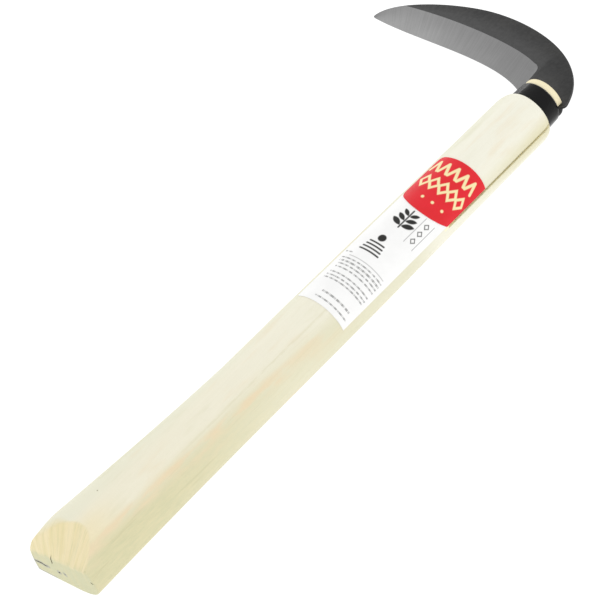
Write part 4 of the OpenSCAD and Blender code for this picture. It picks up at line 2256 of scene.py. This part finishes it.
def white_artwork() -> Artwork:
    """Sprig of leaves, a sun over furrows, small diamonds between two lines, and dotted rules.

    Returns:
        The print.
    """
    marks: list[Mark] = [Stroke((243.0, 20.0), (256.0, 20.0), 0.9)]
    for number in range(3):
        foot = 244.5 + 3.6 * number
        reach = 6.6 - 1.1 * number
        marks += [Leaf((foot, 20.4), (foot + 3.4, 20.4 + reach))]
        marks += [Leaf((foot, 19.6), (foot + 3.4, 19.6 - reach))]
    marks += [Disc((232.6, 21.8), 2.3)]
    for number in range(4):
        furrow = 228.6 - 2.2 * number
        marks += [Stroke((furrow, 17.4 - 0.5 * number), (furrow, 26.2 + 0.5 * number), 1.0)]
    marks += [Stroke((238.6, arc), (257.0, arc), 0.22) for arc in (5.4, 12.4)]
    marks += [Diamond((x, 8.9), (1.7, 1.5), 0.5) for x in (253.6, 248.0, 242.4)]
    marks += [Stroke((215.2, 4.5), (215.2, 29.0), 0.2)]
    rules = [DottedRule(213.0 - 2.3 * number, 3.6, 33.0 - 0.8 * number) for number in range(4)]
    rules += [DottedRule(202.2 - 2.3 * number, 3.2, 31.0) for number in range(3)]
    rules += [DottedRule(217.4, 28.5, 34.0, 1.0), DottedRule(189.2, 5.0, 24.5, 1.3)]
    rules += [DottedRule(185.0, 3.0, 25.5)]
    return Artwork(tuple(marks), tuple(rules))


def red_artwork() -> Artwork:
    """Zigzag, a row of diamonds and three dots.

    Returns:
        The print.
    """
    marks: list[Mark] = []
    for number in range(5):
        arc = 4.6 + 6.1 * number
        marks += [Stroke((284.8, arc), (291.6, arc + 2.5), 1.7)]
        marks += [Stroke((291.6, arc + 2.5), (284.8, arc + 5.0), 1.7)]
    marks += [Diamond((276.6, 5.6 + 6.1 * number), (3.9, 2.8), 1.5) for number in range(5)]
    marks += [Disc((266.2, arc), 0.9) for arc in (9.4, 16.5, 23.0)]
    return Artwork(tuple(marks))


@dataclass
class Label:
    """Paper label that follows the wood from the slot over the top of the handle.

    Attributes:
        name, node: Name of the piece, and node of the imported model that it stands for.
        slot: Finish in the record that it takes.
        form: Shape of the wood.
        artwork: Its print.
        start, end: Distances from the butt of the ends of its sides.
        gap: Height of its underside above the wood.
        bow, crown: How far its start and its end bow out in the middle.
        corner: Radius of its far corners.
        wrap: Angle that it covers, in degrees.
        thickness: Its thickness.
        cell, fade: Size of its mesh's cells, and how many of them an outline's fading takes.
        sharp_angle: Turn between faces from which an edge is shaded sharp.
        worn: Marks of its edges.
    """

    name: str
    node: str
    slot: Finishes
    form: WoodForm
    artwork: Artwork
    start: float
    end: float
    gap: float
    bow: float = 0.0
    crown: float = 0.0
    corner: float = 0.0
    wrap: float = 112.0
    thickness: float = 0.15
    cell: float = 0.3
    fade: float = 1.2
    sharp_angle: float = 50.0
    worn: EdgeMarks = EdgeMarks(angle=60.0, reach=0.8)

    def build(self, material: bpy.types.Material) -> bpy.types.Object:
        """Builds the label and its dress.

        Args:
            material: The printed paper.

        Returns:
            The piece.
        """
        columns = round(self.half_width * 2.0 / self.cell)
        rows = round((self.end - self.start + self.bow) / self.cell)

        def place(column: int, row: int) -> Vector:
            """Point of the outer face.

            Args:
                column: Column line of the sheet.
                row: Its row line.

            Returns:
                The point.
            """
            low, high = self.ends(2.0 * column / columns - 1.0)
            angle = 180.0 - self.wrap * column / columns
            return self.form.point(mix(low, high, row / rows), angle, self.gap + self.thickness)

        mesh = wrapped_sheet(columns, rows, place)
        ink = mesh.verts.layers.float.new("ink")
        for vertex in mesh.verts:
            arc = self.arc(vertex.co)
            vertex[ink] = self.artwork.ink(vertex.co.x, arc, self.cell * self.fade)
        bmesh.ops.recalc_face_normals(mesh, faces=mesh.faces)
        if sum(face.normal.z for face in mesh.faces) < 0.0:
            bmesh.ops.reverse_faces(mesh, faces=mesh.faces)
        bmesh.ops.solidify(mesh, geom=mesh.faces, thickness=self.thickness)
        piece = to_object(self.name, mesh, [material])
        self.worn.apply(piece)
        finish_piece(piece, [self.node], self.slot, self.sharp_angle)
        return piece

    @property
    def half_width(self) -> float:
        """Half of the label's width round the handle."""
        return self.wrap * self.form.grip[0] * math.pi / 720.0

    def arc(self, point: Vector) -> float:
        """Distance round the handle from the slot.

        Args:
            point: Point of the label.

        Returns:
            The distance.
        """
        across, up = point.y / self.form.half(point.x, 0), point.z / self.form.half(point.x, 1)
        angle = math.degrees(math.atan2(up, across))
        return (180.0 - angle % 360.0) / self.wrap * (self.half_width * 2.0)

    def ends(self, across: float) -> Pair:
        """Ends of the label.

        Args:
            across: Place across it, from -1 at the slot to 1 at its far side.

        Returns:
            Distances from the butt of its start and of its end.
        """
        over = max(0.0, across * self.half_width - self.half_width + self.corner)
        cut = self.corner - math.sqrt(max(0.0, self.corner**2 - over * over))
        belly = 1.0 - across * across
        return self.start - self.bow * belly + cut, self.end + self.crown * belly - cut


# Studio


@dataclass
class Studio:
    """White sweep, soft light and camera. Its sizes are metres.

    Attributes:
        floor_height, floor_middle, floor_half: Height, middle and half width of the floor.
        eye: Place of the camera.
        right, down, forward: Ways right and down in the picture, and the way that it looks.
        lens, sensor: Its focal length and its sensor's width, in millimetres.
        shift: Shift of the picture, as a share of its width.
        seen: Nearest and farthest distance that it shows.
        sky: Strength of the even light from all round.
        softbox_place, softbox_size, softbox_power: Place, size and power of the oblong light.
        target: Point that it faces.
    """

    floor_height: float
    floor_middle: Pair = (0.2, 0.0)
    floor_half: float = 6.0
    eye: Triple = (-0.3359, -0.87222, 0.74148)
    right: Triple = (0.65056, -0.67374, -0.35049)
    down: Triple = (-0.63754, -0.23371, -0.73411)
    forward: Triple = (0.41268, 0.70104, -0.58158)
    lens: float = 150.0
    sensor: float = 36.0
    shift: float = 0.5 / 600.0
    seen: Span = (0.05, 50.0)
    sky: float = 1.0
    softbox_place: Triple = (1.0, 1.3, 0.42)
    softbox_size: Pair = (1.4, 0.3)
    softbox_power: float = 2.0
    target: Triple = (0.2, 0.05, 0.0)

    def build(self, floor_material: bpy.types.Material) -> None:
        """Sets up the floor, the light and the camera.

        Args:
            floor_material: Finish of the sweep.
        """
        mesh = bmesh.new()
        bmesh.ops.create_grid(mesh, x_segments=8, y_segments=8, size=self.floor_half)
        bmesh.ops.translate(mesh, verts=mesh.verts, vec=(*self.floor_middle, self.floor_height))
        floor = to_object("floor", mesh, [floor_material])
        self.room()
        self.softbox()
        self.camera()

    def room(self) -> None:
        """Fills the room with even light."""
        scene = bpy.context.scene
        scene.view_settings.view_transform = "Standard"
        scene.world = bpy.data.worlds.new("soft_room")
        scene.world.use_nodes = True
        sky = scene.world.node_tree.nodes["Background"]
        sky.inputs["Color"].default_value = grey(1.0)
        sky.inputs["Strength"].default_value = self.sky

    def softbox(self) -> None:
        """Hangs an oblong light that faces the sickle."""
        data = bpy.data.lights.new("back_softbox", "AREA")
        data.shape = "RECTANGLE"
        data.size, data.size_y = self.softbox_size
        data.energy = self.softbox_power
        light = bpy.data.objects.new("back_softbox", data)
        way = Vector(self.softbox_place) - Vector(self.target)
        turn = way.to_track_quat("Z", "Y").to_matrix()
        light.matrix_world = Matrix.Translation(self.softbox_place) @ turn.to_4x4()
        bpy.context.scene.collection.objects.link(light)

    def camera(self) -> None:
        """Puts the camera where the photograph was taken from."""
        data = bpy.data.cameras.new("camera")
        data.lens = self.lens
        data.sensor_width = self.sensor
        data.shift_x, data.shift_y = -self.shift, self.shift
        data.clip_start, data.clip_end = self.seen
        camera = bpy.data.objects.new("camera", data)
        turn = Matrix((self.right, [-v for v in self.down], [-v for v in self.forward])).transposed()
        camera.matrix_world = Matrix.Translation(self.eye) @ turn.to_4x4()
        bpy.context.scene.collection.objects.link(camera)
        bpy.context.scene.camera = camera


def main() -> None:
    """Builds the studio, then the sickle piece by piece."""
    logging.basicConfig(level=logging.INFO, format="%(name)s: %(message)s")
    effects = SharedEffects()
    form = WoodForm()
    white = CoatedPaper(
        name="white_coated_paper",
        base=screen(250, 250, 249),
        shade=screen(244, 244, 243),
        ink=screen(40, 40, 38),
    )
    red = CoatedPaper(
        name="red_printed_paper",
        base=screen(229, 38, 50),
        shade=screen(216, 36, 40),
        ink=screen(247, 232, 178),
    )
    # Dirt and painted shade for the faces inside the cracks
    crack_dirt_and_shade = PlanedWood("crack_dirt_and_shade_wood", WoodTones.one(screen(64, 54, 26)))
    Studio(CAD_BOX[0][2]).build(PaleFloor().build(effects))
    Handle(form, ButtFacet()).build(PlanedWood().build(effects), crack_dirt_and_shade.build(effects))
    Ferrule().build(BlackEnamel().build(effects))
    Blade(form).build(ForgeScale().build(effects), GroundSteel().build(effects))
    white_label = Label(
        name="white_paper_label",
        node="white_label",
        slot=Finishes.WHITE,
        form=form,
        artwork=white_artwork(),
        start=181.5,
        end=270.5,
        gap=0.08,
    )
    white_label.build(white.build(effects))
    red_label = Label(
        name="red_paper_label",
        node="red_label",
        slot=Finishes.RED,
        form=form,
        artwork=red_artwork(),
        start=263.8,
        end=295.4,
        gap=0.31,
        bow=6.4,
        crown=1.0,
        corner=3.0,
    )
    red_label.build(red.build(effects))


if __name__ == "__main__":
    main()
